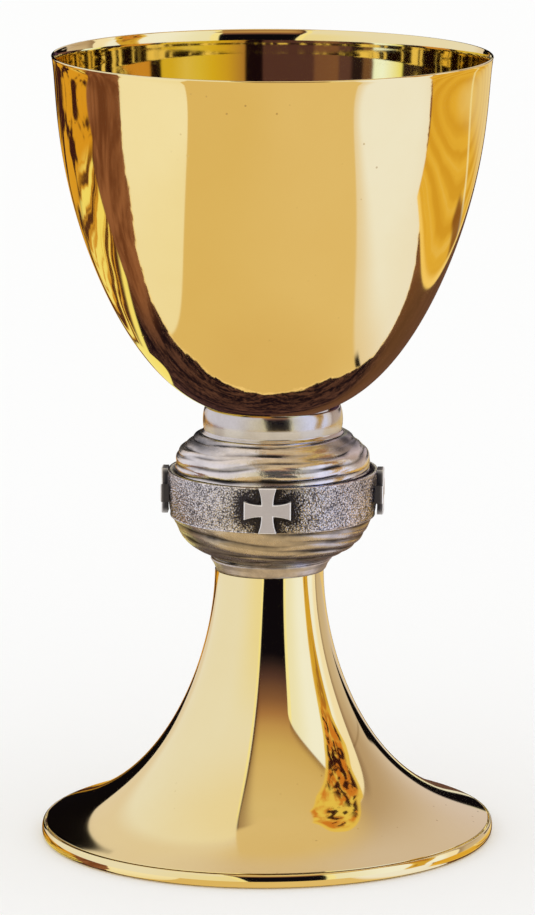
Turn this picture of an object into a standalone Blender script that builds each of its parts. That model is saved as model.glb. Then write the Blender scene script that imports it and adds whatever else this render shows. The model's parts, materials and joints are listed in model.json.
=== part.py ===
"""Communion chalice: gilt cup and foot, cast silver knop with four crosses.

The origin is the centre of the foot's rest plane and +Z is the axis of the
turned pieces; the front is towards -Y. Dimensions are millimetres, which MM
turns into metres. A radius is called R, a height Z and a thickness T.
"""
import math

import bmesh
import bpy
from mathutils import Matrix

MM = 0.001

# ---------------------------------------------------------------- general
HEIGHT = 186.0              # rest plane to the lip
GAP = 0.3                   # clearance between two pieces that meet
SEG_LARGE = 48
SEG_KNOP = 36
SEG_SMALL = 24
SEG_PEG = 12
SHARP_ANGLE = math.radians(35.0)

# ---------------------------------------------------------------- cup
CUP_BOTTOM_Z = 99.6
CUP_WALL = 0.9
CUP_RIM_R = 52.3
# Bezier control points of the outer side: radius, z
CUP_CURVE = (
    (CUP_RIM_R, HEIGHT), (49.9, 172.8), (53.9, 149.9),
    (35.0, 117.9), (29.0, CUP_BOTTOM_Z), (0.0, CUP_BOTTOM_Z),
)

# ---------------------------------------------------------------- foot
FOOT_TOP_R = 12.9
FOOT_TOP_Z = 63.2
FOOT_WALL = 1.0
# Bezier control points of the outer side below its top: radius, z
FOOT_CURVE = ((13.0, 43.8), (21.0, 18.9), (34.1, 9.5), (44.7, 6.2), (52.4, 3.3))

# ring round the foot's edge: the foot sits in its step
RING_TOP_Z = 2.9
RING_OUTER_R = 53.0
RING_BULGE = 0.7
RING_BULGE_Z = 0.3          # lower control point of the bulge
RING_LIP_R = 52.7
RING_STEP_Z = 1.9
RING_INNER_R = 50.6
RING_TOP_EASE = 0.1
RING_STEP_CHAMFER = 0.2

# ---------------------------------------------------------------- screwed joint
THREAD_R = 3.9
BORE_R = 4.3
PITCH = 1.25
CUP_TURNS = 5
STUD_COLLAR_Z = (87.2, 89.2)
STUD_COLLAR_AF = 15.0       # across flats
SEAT_WASHER_T = 0.7
SEAT_WASHER_Z = STUD_COLLAR_Z[1] + GAP
SEAT_WASHER_INSET = 0.2     # from the boss hub's radius
BOSS_R = 11.0
BOSS_HUB_R = 7.5
BOSS_FACE_Z = SEAT_WASHER_Z + SEAT_WASHER_T + GAP
BOSS_FLANGE_Z = 96.2
BOSS_TOP_Z = CUP_BOTTOM_Z - 0.4
BOSS_CHAMFER = 0.5
BOSS_BORE_RISE = (0.6, 1.4)  # bore end above the rod: at its wall, on the axis
ROD_TOP_Z = BOSS_FACE_Z + CUP_TURNS * PITCH
ROD_CHAMFER = 0.8
CORE_R = 6.5

# ---------------------------------------------------------------- knop, bottom to top
LOWER_COLLAR_TOP_Z = 66.0
LOWER_COLLAR_R = (FOOT_TOP_R, 14.25)    # bottom, top
LOWER_COLLAR_BORE_R = CORE_R + 0.4
LOWER_COLLAR_CHAMFER = 0.2
LOWER_COLLAR_FLARE = (0.3, 0.8)         # outside the bottom radius, above the bottom

SHELL_WALL = 1.5
LOWER_DOME_TOP_R = 24.0
LOWER_DOME_BASE_R = LOWER_COLLAR_R[1]
LOWER_DOME_BORE_R = 8.0
# control points of the bowl's curve
LOWER_DOME_SIDE = (0.2, 4.2)            # inside the top radius, below the top
LOWER_DOME_BELLY = (3.2, 2.2)           # inside the top radius, above the base
LOWER_DOME_HEEL = (2.6, 0.6)            # outside the base radius, above the base
# corners of its hollow
LOWER_HOLLOW_FLOOR = (14.6, 0.4)        # radius, above the floor at the bore
LOWER_HOLLOW_SIDE = (4.2, 4.6)          # inside the top radius, above the base
LOWER_HOLLOW_THICKENING = 0.3           # extra wall at the top

BAND_Z = (76.2, 87.0)                   # bottom, top
BAND_MID_Z = (BAND_Z[0] + BAND_Z[1]) / 2
BAND_R = (24.2, 25.1, 24.8)             # bottom, middle, top
BAND_INNER_R = BAND_R[0] - 1.6
BAND_LEDGE_R = 20.6
BAND_LEDGE_T = 1.0

UPPER_DOME_TOP_Z = 96.35
UPPER_DOME_TOP_R = 17.1
UPPER_DOME_BASE_R = 23.0
UPPER_DOME_BORE_R = 12.2
UPPER_RIDGES = 4
POINTS_PER_RIDGE = 3
RIDGE_LIFT = 0.28
# control points of the dome's curve
UPPER_DOME_SHOULDER = ((21.0, 1.6), (22.4, 3.6))   # radius, below the top
UPPER_DOME_SIDE = (0.5, 3.0)            # outside the base radius, above the base
# corners of its hollow
UPPER_HOLLOW_SIDE = ((0.0, 0.0), (0.1, 2.6), (1.4, 5.0))  # inset, above the base
UPPER_HOLLOW_CROWN = (0.6, 0.3)         # inside the top radius, below the roof

UPPER_COLLAR_TOP_Z = 102.3
UPPER_COLLAR_R = (16.4, 16.7, 16.1)     # bottom, middle, top
UPPER_COLLAR_BORE_R = 13.4
UPPER_COLLAR_CHAMFER = 0.25
UPPER_COLLAR_DISH = 1.1                 # fall of the top face towards the bore

# ---------------------------------------------------------------- crosses
CROSS_REACH = (11.2 / 2, 11.3 / 2)      # centre to arm end: across, upright
CROSS_FACE_R = 26.9
CROSS_DEPTH = 2.3                       # of the plate, before the back is hollowed
CROSS_Z = BAND_MID_Z + 0.3
CROSS_NECK = 2.85                       # narrowest width of an arm
CROSS_ARM_END = 4.5                     # widest width of an arm
CROSS_ARM_STEPS = 5
CROSS_CHAMFER = 0.3
CROSS_TURN = math.radians(-2.8)
PEG_R = 0.8
PEG_OFFSET_Z = 3.0                      # above and below the band's middle
PEG_OVERLAP = 1.0                       # reach beyond the band's widest radius
PEG_HOLE_R = PEG_R + 0.38
PEG_HOLE_OVERCUT = (1.4, 2.0)           # beyond the band's wall: inwards, outwards
CROSS_BACK_OVERCUT = 4.0                # of the back's cutter, above and below the band

# ---------------------------------------------------------------- clamping set
BUSH_R = 11.55
BUSH_BOTTOM_Z = 56.35
BUSH_TOP_Z = FOOT_TOP_Z - GAP / 2
WASHER_R = 8.0
WASHER_T = 1.6
WASHER_CHAMFER = 0.2
WASHER_TOP_Z = BUSH_BOTTOM_Z - GAP
SPRING_R = 7.1
SPRING_T = 2.0
SPRING_TOP_Z = WASHER_TOP_Z - WASHER_T - GAP
SPLIT_WIDTH = 1.2
SPLIT_TILT = math.radians(20)
SPLIT_CENTRE_R = SPRING_R * 0.75
SPLIT_HEIGHT = SPRING_T * 2.5
NUT_AF = 13.0                           # across flats
NUT_H = 6.5
NUT_TURNS = 7
NUT_TOP_Z = SPRING_TOP_Z - SPRING_T - GAP
NUT_BOTTOM_Z = NUT_TOP_Z - NUT_H
NUT_BORE_OVERCUT = 2.0
NUT_CONE_R = (NUT_AF / 2 - 1.2, NUT_AF / 2 + 2.0)   # narrow end, wide end
NUT_CONE_RISE = 1.0                     # narrow end outside the nut's face
NUT_CONE_DROP = 1.4                     # wide end inside the nut's face
ROD_BOTTOM_Z = NUT_TOP_Z - NUT_TURNS * PITCH

# ---------------------------------------------------------------- colours
GILT = (0.89, 0.62, 0.24)
SILVER = (0.70, 0.68, 0.65)
DARK_SILVER = (0.36, 0.33, 0.30)
BRASS = (0.72, 0.52, 0.22)

# ---------------------------------------------------------------- clean start
for old in list(bpy.data.objects):
    bpy.data.objects.remove(old, do_unlink=True)

parts = bpy.data.collections.new("communion_chalice")
cutters = bpy.data.collections.new("communion_chalice_cutters")
for collection in (parts, cutters):
    bpy.context.scene.collection.children.link(collection)


def material(name, colour, roughness, metallic=1.0):
    mat = bpy.data.materials.new(name)
    mat.use_nodes = True
    shader = mat.node_tree.nodes["Principled BSDF"]
    shader.inputs["Base Color"].default_value = (*colour, 1.0)
    shader.inputs["Roughness"].default_value = roughness
    shader.inputs["Metallic"].default_value = metallic
    mat.diffuse_color = (*colour, 1.0)
    return mat


# ---------------------------------------------------------------- profiles
def bezier(points, count):
    """Points along a Bezier curve of any degree, ends included."""
    degree = len(points) - 1
    line = []
    for i in range(count + 1):
        t = i / count
        weights = [math.comb(degree, k) * t ** k * (1 - t) ** (degree - k)
                   for k in range(degree + 1)]
        line.append(tuple(sum(weight * point[axis] for weight, point in zip(weights, points))
                          for axis in (0, 1)))
    return line


def inward(line, wall):
    """The same line moved by the wall thickness to its right-hand side."""
    moved = []
    last = len(line) - 1
    for i, (r, z) in enumerate(line):
        before_r, before_z = line[max(i - 1, 0)]
        after_r, after_z = line[min(i + 1, last)]
        dr, dz = after_r - before_r, after_z - before_z
        length = math.hypot(dr, dz)
        moved.append((r + wall * dz / length, z - wall * dr / length))
    return moved


def bowed_side(radii, bottom, top, count):
    """Curve from top to bottom through the bottom, middle and top radii."""
    low_r, middle_r, high_r = radii
    control_r = 2 * middle_r - low_r / 2 - high_r / 2
    return bezier([(high_r, top), (control_r, (bottom + top) / 2), (low_r, bottom)], count)


def tube_profile(outer_r, bottom, top):
    """Rectangular section between an outer radius and the common bore."""
    return [(outer_r, top), (outer_r, bottom), (BORE_R, bottom), (BORE_R, top)]


def within_gaps(bottom, top):
    """Bottom and top of a piece, less half a gap at each end."""
    return bottom + GAP / 2, top - GAP / 2


# ---------------------------------------------------------------- builders
def add_piece(name, mesh, mat):
    mesh.materials.append(mat)
    obj = bpy.data.objects.new(name, mesh)
    parts.objects.link(obj)
    return obj


def add_cutter(name, mesh):
    obj = bpy.data.objects.new(name, mesh)
    cutters.objects.link(obj)
    obj.hide_render = True
    obj.display_type = "WIRE"
    return obj


def add_axis(name, z):
    axis = bpy.data.objects.new(name, None)
    parts.objects.link(axis)
    axis.location = (0.0, 0.0, z * MM)
    return axis


def hang_on(axis, piece):
    """Parent a piece to an axis without moving it."""
    piece.parent = axis
    piece.matrix_parent_inverse = Matrix.Translation(-axis.location)


def mesh_from(name, bm):
    mesh = bpy.data.meshes.new(name)
    bm.to_mesh(mesh)
    bm.free()
    return mesh


def profile_mesh(name, profile, closed):
    """A chain of edges in the XZ plane through (radius, z) points."""
    bm = bmesh.new()
    verts = [bm.verts.new((r * MM, 0.0, z * MM)) for r, z in profile]
    for pair in zip(verts, verts[1:] + ([verts[0]] if closed else [])):
        bm.edges.new(pair)
    return mesh_from(name, bm)


def turn(obj, segments):
    screw = obj.modifiers.new("Turn", "SCREW")
    screw.angle = 2.0 * math.pi
    screw.axis = "Z"
    screw.steps = segments
    screw.render_steps = segments
    screw.use_merge_vertices = True
    screw.merge_threshold = 0.00001
    screw.use_smooth_shade = True


def turned(name, profile, mat, segments, closed=True):
    """A piece turned round the Z axis.

    The profile runs down the outer side. A closed one makes a ring; an open
    one starts and ends on the axis.
    """
    obj = add_piece(name, profile_mesh(name, profile, closed), mat)
    turn(obj, segments)
    return obj


def bar_mesh(name, radius, length, segments, matrix):
    """A capped cylinder along its local Z, placed by the matrix."""
    bm = bmesh.new()
    bmesh.ops.create_cone(bm, cap_ends=True, cap_tris=False, segments=segments,
                          radius1=radius * MM, radius2=radius * MM,
                          depth=length * MM, matrix=matrix)
    return mesh_from(name, bm)


def shade(mesh):
    """Smooth shading with the hard corners marked."""
    mesh.shade_smooth()
    mesh.set_sharp_from_angle(angle=SHARP_ANGLE)


def upright_mesh(name, radius, bottom, top, segments):
    centre = Matrix.Translation((0, 0, (bottom + top) / 2 * MM))
    mesh = bar_mesh(name, radius, top - bottom, segments, centre)
    shade(mesh)
    return mesh


def hexagon_mesh(name, across_flats, bottom, top):
    return upright_mesh(name, across_flats / math.sqrt(3.0), bottom, top, segments=6)


def boolean(obj, other, operation):
    modifier = obj.modifiers.new(operation.title(), "BOOLEAN")
    modifier.operation = operation
    modifier.solver = "EXACT"
    modifier.object = other


# ---------------------------------------------------------------- cup and joint
def build_cup():
    outer = bezier(CUP_CURVE, count=13)
    inner = inward(outer, CUP_WALL)
    inner[-1] = (0.0, CUP_BOTTOM_Z + CUP_WALL)
    # a half circle over the wall takes the place of both sides' first point
    lip_r = CUP_WALL / 2
    lip_steps = 4
    lip = []
    for i in range(lip_steps + 1):
        angle = math.pi * (1 - i / lip_steps)
        lip.append((CUP_RIM_R - lip_r + lip_r * math.cos(angle),
                    HEIGHT - lip_r + lip_r * math.sin(angle)))
    gilt = material("gilt_cup", GILT, roughness=0.06)
    return turned("cup", inner[:0:-1] + lip + outer[1:], gilt, SEG_LARGE, closed=False)


def build_cup_boss():
    """Brass boss under the cup, with a blind bore for the rod."""
    wall_rise, axis_rise = BOSS_BORE_RISE
    return turned("cup_boss", [
        (0.0, BOSS_TOP_Z), (BOSS_R - BOSS_CHAMFER, BOSS_TOP_Z),
        (BOSS_R, BOSS_TOP_Z - BOSS_CHAMFER),
        (BOSS_R, BOSS_FLANGE_Z), (BOSS_HUB_R, BOSS_FLANGE_Z),
        (BOSS_HUB_R, BOSS_FACE_Z), (BORE_R, BOSS_FACE_Z),
        (BORE_R, ROD_TOP_Z + wall_rise), (0.0, ROD_TOP_Z + axis_rise),
    ], material("boss_brass", BRASS, roughness=0.3), SEG_SMALL, closed=False)


def build_seat_washer():
    fibre = material("washer_fibre", colour=(0.33, 0.10, 0.06), roughness=0.75, metallic=0.0)
    profile = tube_profile(BOSS_HUB_R - SEAT_WASHER_INSET,
                           SEAT_WASHER_Z, SEAT_WASHER_Z + SEAT_WASHER_T)
    turned("seat_washer", profile, fibre, SEG_SMALL)


def build_tie_rod():
    """Rod from the cup boss to the nut, with a hexagonal collar."""
    steel = material("rod_steel", colour=(0.52, 0.53, 0.54), roughness=0.35)
    end_r = THREAD_R - ROD_CHAMFER
    rod = turned("tie_rod", [
        (0.0, ROD_TOP_Z), (end_r, ROD_TOP_Z), (THREAD_R, ROD_TOP_Z - ROD_CHAMFER),
        (THREAD_R, ROD_BOTTOM_Z + ROD_CHAMFER), (end_r, ROD_BOTTOM_Z), (0.0, ROD_BOTTOM_Z),
    ], steel, SEG_SMALL, closed=False)
    name = "stud_collar_shape"
    collar = add_cutter(name, hexagon_mesh(name, STUD_COLLAR_AF, *STUD_COLLAR_Z))
    boolean(rod, collar, "UNION")


def build_core_tube():
    brass = material("core_brass", BRASS, roughness=0.35)
    profile = tube_profile(CORE_R, BUSH_TOP_Z + GAP, STUD_COLLAR_Z[0] - GAP)
    turned("knop_core_tube", profile, brass, SEG_SMALL)


# ---------------------------------------------------------------- knop
def build_upper_collar():
    bottom, top = within_gaps(UPPER_DOME_TOP_Z, UPPER_COLLAR_TOP_Z)
    bottom_r, _, top_r = UPPER_COLLAR_R
    chamfer = UPPER_COLLAR_CHAMFER
    side = bowed_side(UPPER_COLLAR_R, bottom + 2 * chamfer, top - 2 * chamfer, count=3)
    profile = (
        [(top_r - chamfer, top), (top_r, top - chamfer)] + side
        + [(bottom_r, bottom + chamfer), (bottom_r - chamfer, bottom),
           (UPPER_COLLAR_BORE_R, bottom), (UPPER_COLLAR_BORE_R, top - UPPER_COLLAR_DISH)])
    turned("upper_collar", profile, material("silver_upper_collar", SILVER, roughness=0.14),
           SEG_KNOP)


def build_upper_shell():
    """Ridged dome above the band."""
    base, top = within_gaps(BAND_Z[1], UPPER_DOME_TOP_Z)
    side_out, side_up = UPPER_DOME_SIDE
    dome = bezier(
        [(UPPER_DOME_TOP_R, top)]
        + [(r, top - depth) for r, depth in UPPER_DOME_SHOULDER]
        + [(UPPER_DOME_BASE_R + side_out, base + side_up), (UPPER_DOME_BASE_R, base)],
        count=UPPER_RIDGES * POINTS_PER_RIDGE)
    ridged = [(r + RIDGE_LIFT * math.sin(2 * math.pi * i / POINTS_PER_RIDGE), z)
              for i, (r, z) in enumerate(dome)]
    inner_r = UPPER_DOME_BASE_R - SHELL_WALL
    roof = top - SHELL_WALL
    crown_in, crown_down = UPPER_HOLLOW_CROWN
    hollow = [(inner_r - inset, base + rise) for inset, rise in UPPER_HOLLOW_SIDE] + [
        (UPPER_DOME_TOP_R - crown_in, roof - crown_down),
        (UPPER_DOME_BORE_R, roof), (UPPER_DOME_BORE_R, top)]
    turned("knop_upper_shell", ridged + hollow,
           material("silver_upper_dome", DARK_SILVER, roughness=0.32), SEG_KNOP)


def build_band():
    """Bowed band with a ledge inside each edge."""
    bottom, top = within_gaps(*BAND_Z)
    ledges = [
        (BAND_LEDGE_R, bottom), (BAND_LEDGE_R, bottom + BAND_LEDGE_T),
        (BAND_INNER_R, bottom + BAND_LEDGE_T), (BAND_INNER_R, top - BAND_LEDGE_T),
        (BAND_LEDGE_R, top - BAND_LEDGE_T), (BAND_LEDGE_R, top)]
    silver = material("silver_band", colour=(0.48, 0.43, 0.38), roughness=0.4)
    return turned("knop_band", bowed_side(BAND_R, bottom, top, count=4) + ledges,
                  silver, SEG_KNOP)


def cross_outline():
    """Outline of the cross, one arm after another, anticlockwise."""
    neck = CROSS_NECK / 2
    points = []
    for arm, (c, s) in enumerate(((1, 0), (0, 1), (-1, 0), (0, -1))):
        reach = CROSS_REACH[arm % 2]
        side = []           # distance from the centre, half width
        for i in range(CROSS_ARM_STEPS + 1):
            t = i / CROSS_ARM_STEPS
            side.append((neck + (reach - neck) * t,
                         neck + (CROSS_ARM_END - CROSS_NECK) / 2 * t ** 2))
        outwards = [(x, -y) for x, y in side[1:]]
        for x, y in outwards + side[::-1]:
            points.append((x * c - y * s, x * s + y * c))
    return points


def cross_mesh(name):
    """Flat chamfered cross, upright, with its outer face towards -Y."""
    curve = bpy.data.curves.new(name + "_outline", "CURVE")
    curve.dimensions = "2D"
    curve.fill_mode = "BOTH"
    curve.extrude = (CROSS_DEPTH / 2 - CROSS_CHAMFER) * MM
    curve.bevel_depth = CROSS_CHAMFER * MM
    curve.bevel_resolution = 0
    curve.offset = -CROSS_CHAMFER * MM
    outline = cross_outline()
    spline = curve.splines.new("POLY")
    spline.points.add(len(outline) - 1)
    for point, (x, y) in zip(spline.points, outline):
        point.co = (x * MM, y * MM, 0.0, 1.0)
    spline.use_cyclic_u = True
    blank = bpy.data.objects.new(name + "_blank", curve)
    cutters.objects.link(blank)
    bpy.context.view_layer.update()
    graph = bpy.context.evaluated_depsgraph_get()
    mesh = bpy.data.meshes.new_from_object(blank.evaluated_get(graph))
    bpy.data.objects.remove(blank, do_unlink=True)

    bm = bmesh.new()
    bm.from_mesh(mesh)
    bmesh.ops.remove_doubles(bm, verts=bm.verts, dist=0.000001)
    bmesh.ops.dissolve_limit(bm, angle_limit=math.radians(0.5),
                             verts=bm.verts, edges=bm.edges)
    place = Matrix.Translation((0.0, -(CROSS_FACE_R - CROSS_DEPTH / 2) * MM, CROSS_Z * MM))
    bmesh.ops.transform(bm, verts=bm.verts, matrix=place @ Matrix.Rotation(math.pi / 2, 4, "X"))
    bm.to_mesh(mesh)
    bm.free()
    mesh.name = name
    mesh.materials.clear()
    return mesh


def add_peg(name, z, radius, inner_r, outer_r, angle):
    """A round peg between two radii, along -Y turned by the angle."""
    centre = Matrix.Translation((0.0, -(inner_r + outer_r) / 2 * MM, z * MM))
    mesh = bar_mesh(name, radius, outer_r - inner_r, SEG_PEG,
                    centre @ Matrix.Rotation(math.pi / 2, 4, "X"))
    peg = add_cutter(name, mesh)
    peg.rotation_euler = (0.0, 0.0, angle)
    return peg


def build_crosses(band):
    """Four crosses round the band, each with two pegs in holes through it."""
    name = "cross_back_shape"
    hollow = add_cutter(name, upright_mesh(
        name, BAND_R[1] + GAP, BAND_Z[0] - CROSS_BACK_OVERCUT,
        BAND_Z[1] + CROSS_BACK_OVERCUT, SEG_KNOP))
    overcut_in, overcut_out = PEG_HOLE_OVERCUT
    for index, side in enumerate(("front", "right", "back", "left")):
        angle = CROSS_TURN + index * math.pi / 2
        name = "cross_" + side
        silver = material("silver_" + name, SILVER, roughness=0.28)
        cross = add_piece(name, cross_mesh(name), silver)
        cross.rotation_euler = (0.0, 0.0, angle)
        boolean(cross, hollow, "DIFFERENCE")
        for level, offset in (("top", PEG_OFFSET_Z), ("bottom", -PEG_OFFSET_Z)):
            z = BAND_MID_Z + offset
            peg = add_peg(name + "_peg_" + level, z, PEG_R,
                          BAND_INNER_R, BAND_R[1] + PEG_OVERLAP, angle)
            boolean(cross, peg, "UNION")
            hole = add_peg(name + "_hole_" + level, z, PEG_HOLE_R,
                           BAND_INNER_R - overcut_in, BAND_R[1] + overcut_out, angle)
            boolean(band, hole, "DIFFERENCE")


def build_lower_shell():
    """Bowl below the band."""
    base, top = within_gaps(LOWER_COLLAR_TOP_Z, BAND_Z[0])
    top_r = LOWER_DOME_TOP_R
    side_in, side_down = LOWER_DOME_SIDE
    belly_in, belly_up = LOWER_DOME_BELLY
    heel_out, heel_up = LOWER_DOME_HEEL
    bowl = bezier([
        (top_r, top), (top_r - side_in, top - side_down),
        (top_r - belly_in, base + belly_up),
        (LOWER_DOME_BASE_R + heel_out, base + heel_up), (LOWER_DOME_BASE_R, base)], count=7)
    floor = base + SHELL_WALL
    floor_r, floor_up = LOWER_HOLLOW_FLOOR
    hollow_in, hollow_up = LOWER_HOLLOW_SIDE
    hollow = [
        (LOWER_DOME_BORE_R, base), (LOWER_DOME_BORE_R, floor), (floor_r, floor + floor_up),
        (top_r - hollow_in, base + hollow_up),
        (top_r - SHELL_WALL - LOWER_HOLLOW_THICKENING, top)]
    turned("knop_lower_shell", bowl + hollow,
           material("silver_lower_dome", DARK_SILVER, roughness=0.3), SEG_KNOP)


def build_lower_collar():
    bottom, top = within_gaps(FOOT_TOP_Z, LOWER_COLLAR_TOP_Z)
    bottom_r, top_r = LOWER_COLLAR_R
    chamfer = LOWER_COLLAR_CHAMFER
    flare_out, flare_up = LOWER_COLLAR_FLARE
    turned("lower_collar", [
        (top_r - chamfer, top), (top_r, top - chamfer),
        (bottom_r + flare_out, bottom + flare_up), (bottom_r, bottom + chamfer),
        (bottom_r - chamfer, bottom),
        (LOWER_COLLAR_BORE_R, bottom), (LOWER_COLLAR_BORE_R, top),
    ], material("silver_lower_collar", SILVER, roughness=0.22), SEG_KNOP)


# ---------------------------------------------------------------- foot
def build_foot():
    top = FOOT_TOP_Z - GAP / 2
    outer = bezier([(FOOT_TOP_R, top), *FOOT_CURVE], count=14)
    inner = inward(outer, FOOT_WALL)
    inner[0] = (FOOT_TOP_R - FOOT_WALL, top)
    turned("foot", outer + inner[::-1], material("gilt_foot", GILT, roughness=0.06), SEG_LARGE)


def build_foot_ring():
    bulge_r = RING_OUTER_R + RING_BULGE
    bead = bezier([(RING_OUTER_R - RING_TOP_EASE, RING_TOP_Z), (bulge_r, RING_TOP_Z),
                   (bulge_r, RING_BULGE_Z), (RING_OUTER_R, 0.0)], count=5)
    step = [(RING_INNER_R, 0.0), (RING_INNER_R, RING_STEP_Z),
            (RING_LIP_R - RING_STEP_CHAMFER, RING_STEP_Z),
            (RING_LIP_R, RING_STEP_Z + RING_STEP_CHAMFER),
            (RING_LIP_R, RING_TOP_Z - RING_TOP_EASE)]
    turned("foot_rim_ring", bead + step, material("gilt_foot_ring", GILT, roughness=0.08),
           SEG_LARGE)


# ---------------------------------------------------------------- inside the stem
def build_stem_bush():
    turned("stem_bush", tube_profile(BUSH_R, BUSH_BOTTOM_Z, BUSH_TOP_Z),
           material("bush_brass", BRASS, roughness=0.35), SEG_KNOP)


def build_clamp_washer():
    zinc = material("washer_zinc", colour=(0.60, 0.60, 0.58), roughness=0.4)
    bottom = WASHER_TOP_Z - WASHER_T
    turned("clamp_washer", [
        (WASHER_R - WASHER_CHAMFER, WASHER_TOP_Z), (WASHER_R, WASHER_TOP_Z - WASHER_CHAMFER),
        (WASHER_R, bottom), (BORE_R, bottom), (BORE_R, WASHER_TOP_Z),
    ], zinc, SEG_SMALL)


def build_spring_washer():
    """Washer with a tilted split on its -Y side."""
    steel = material("spring_steel", colour=(0.42, 0.42, 0.43), roughness=0.45)
    spring = turned("spring_washer",
                    tube_profile(SPRING_R, SPRING_TOP_Z - SPRING_T, SPRING_TOP_Z),
                    steel, SEG_SMALL)
    centre = (0.0, -SPLIT_CENTRE_R * MM, (SPRING_TOP_Z - SPRING_T / 2) * MM)
    size = (SPLIT_WIDTH * MM, SPRING_R * MM, SPLIT_HEIGHT * MM, 1.0)
    bm = bmesh.new()
    bmesh.ops.create_cube(bm, size=1.0, matrix=Matrix.Translation(centre)
                          @ Matrix.Rotation(SPLIT_TILT, 4, "Y") @ Matrix.Diagonal(size))
    split = add_cutter("spring_split", mesh_from("spring_split", bm))
    boolean(spring, split, "DIFFERENCE")


def build_nut():
    """Hexagonal nut, bored, with its corners chamfered by a double cone."""
    zinc = material("nut_zinc", colour=(0.58, 0.57, 0.53), roughness=0.38)
    mesh = hexagon_mesh("clamp_nut", NUT_AF, NUT_BOTTOM_Z, NUT_TOP_Z)
    nut = add_piece("clamp_nut", mesh, zinc)
    bore = add_cutter("nut_bore", upright_mesh(
        "nut_bore", BORE_R, NUT_BOTTOM_Z - NUT_BORE_OVERCUT,
        NUT_TOP_Z + NUT_BORE_OVERCUT, SEG_SMALL))
    boolean(nut, bore, "DIFFERENCE")

    narrow_r, wide_r = NUT_CONE_R
    top, bottom = NUT_TOP_Z + NUT_CONE_RISE, NUT_BOTTOM_Z - NUT_CONE_RISE
    cones = [(0.0, top), (narrow_r, top), (wide_r, NUT_TOP_Z - NUT_CONE_DROP),
             (wide_r, NUT_BOTTOM_Z + NUT_CONE_DROP), (narrow_r, bottom), (0.0, bottom)]
    chamfer = add_cutter("nut_chamfer", profile_mesh("nut_chamfer", cones, closed=False))
    turn(chamfer, SEG_SMALL)
    boolean(nut, chamfer, "INTERSECT")
    return nut


def apply_modifiers():
    """Replace every piece's mesh by its modified and shaded shape."""
    bpy.context.view_layer.update()
    graph = bpy.context.evaluated_depsgraph_get()
    finished = []
    for obj in parts.objects:
        if obj.type == "MESH":
            mesh = bpy.data.meshes.new_from_object(obj.evaluated_get(graph))
            mesh.name = obj.name
            shade(mesh)
            finished.append((obj, mesh))
    for obj, mesh in finished:
        obj.modifiers.clear()
        obj.data = mesh


# ---------------------------------------------------------------- assembly
cup_axis = add_axis("cup_axis", BOSS_FACE_Z)
hang_on(cup_axis, build_cup())
hang_on(cup_axis, build_cup_boss())
build_seat_washer()
build_tie_rod()
build_core_tube()

build_upper_collar()
build_upper_shell()
build_crosses(build_band())
build_lower_shell()
build_lower_collar()

build_foot()
build_foot_ring()

build_stem_bush()
nut_axis = add_axis("nut_axis", NUT_TOP_Z)
build_clamp_washer()
build_spring_washer()
hang_on(nut_axis, build_nut())

apply_modifiers()
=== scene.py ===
"""Looks for the communion chalice: fine meshes, metal finishes, studio surroundings, floor and camera."""
import json
import math

import bmesh
import bpy
import numpy as np
from mathutils import Matrix, Vector, noise

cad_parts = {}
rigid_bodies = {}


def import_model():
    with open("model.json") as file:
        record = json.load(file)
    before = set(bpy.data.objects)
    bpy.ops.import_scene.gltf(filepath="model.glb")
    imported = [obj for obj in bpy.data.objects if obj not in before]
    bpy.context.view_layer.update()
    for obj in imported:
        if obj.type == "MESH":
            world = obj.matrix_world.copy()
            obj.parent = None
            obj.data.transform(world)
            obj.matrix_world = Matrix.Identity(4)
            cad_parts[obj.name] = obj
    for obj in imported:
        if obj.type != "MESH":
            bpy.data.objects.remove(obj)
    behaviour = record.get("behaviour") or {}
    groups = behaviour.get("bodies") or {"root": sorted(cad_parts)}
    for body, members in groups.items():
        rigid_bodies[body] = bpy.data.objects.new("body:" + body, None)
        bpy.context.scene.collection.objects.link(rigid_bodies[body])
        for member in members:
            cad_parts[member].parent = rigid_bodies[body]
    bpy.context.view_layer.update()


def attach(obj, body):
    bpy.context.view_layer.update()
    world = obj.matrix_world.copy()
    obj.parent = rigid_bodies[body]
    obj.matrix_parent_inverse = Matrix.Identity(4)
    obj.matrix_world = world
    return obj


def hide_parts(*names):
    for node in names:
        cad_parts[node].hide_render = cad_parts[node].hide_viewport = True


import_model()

MM = 0.001
TAU = 2.0 * math.pi
scene = bpy.context.scene

# ------------------------------------------------------------------ node helpers


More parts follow.
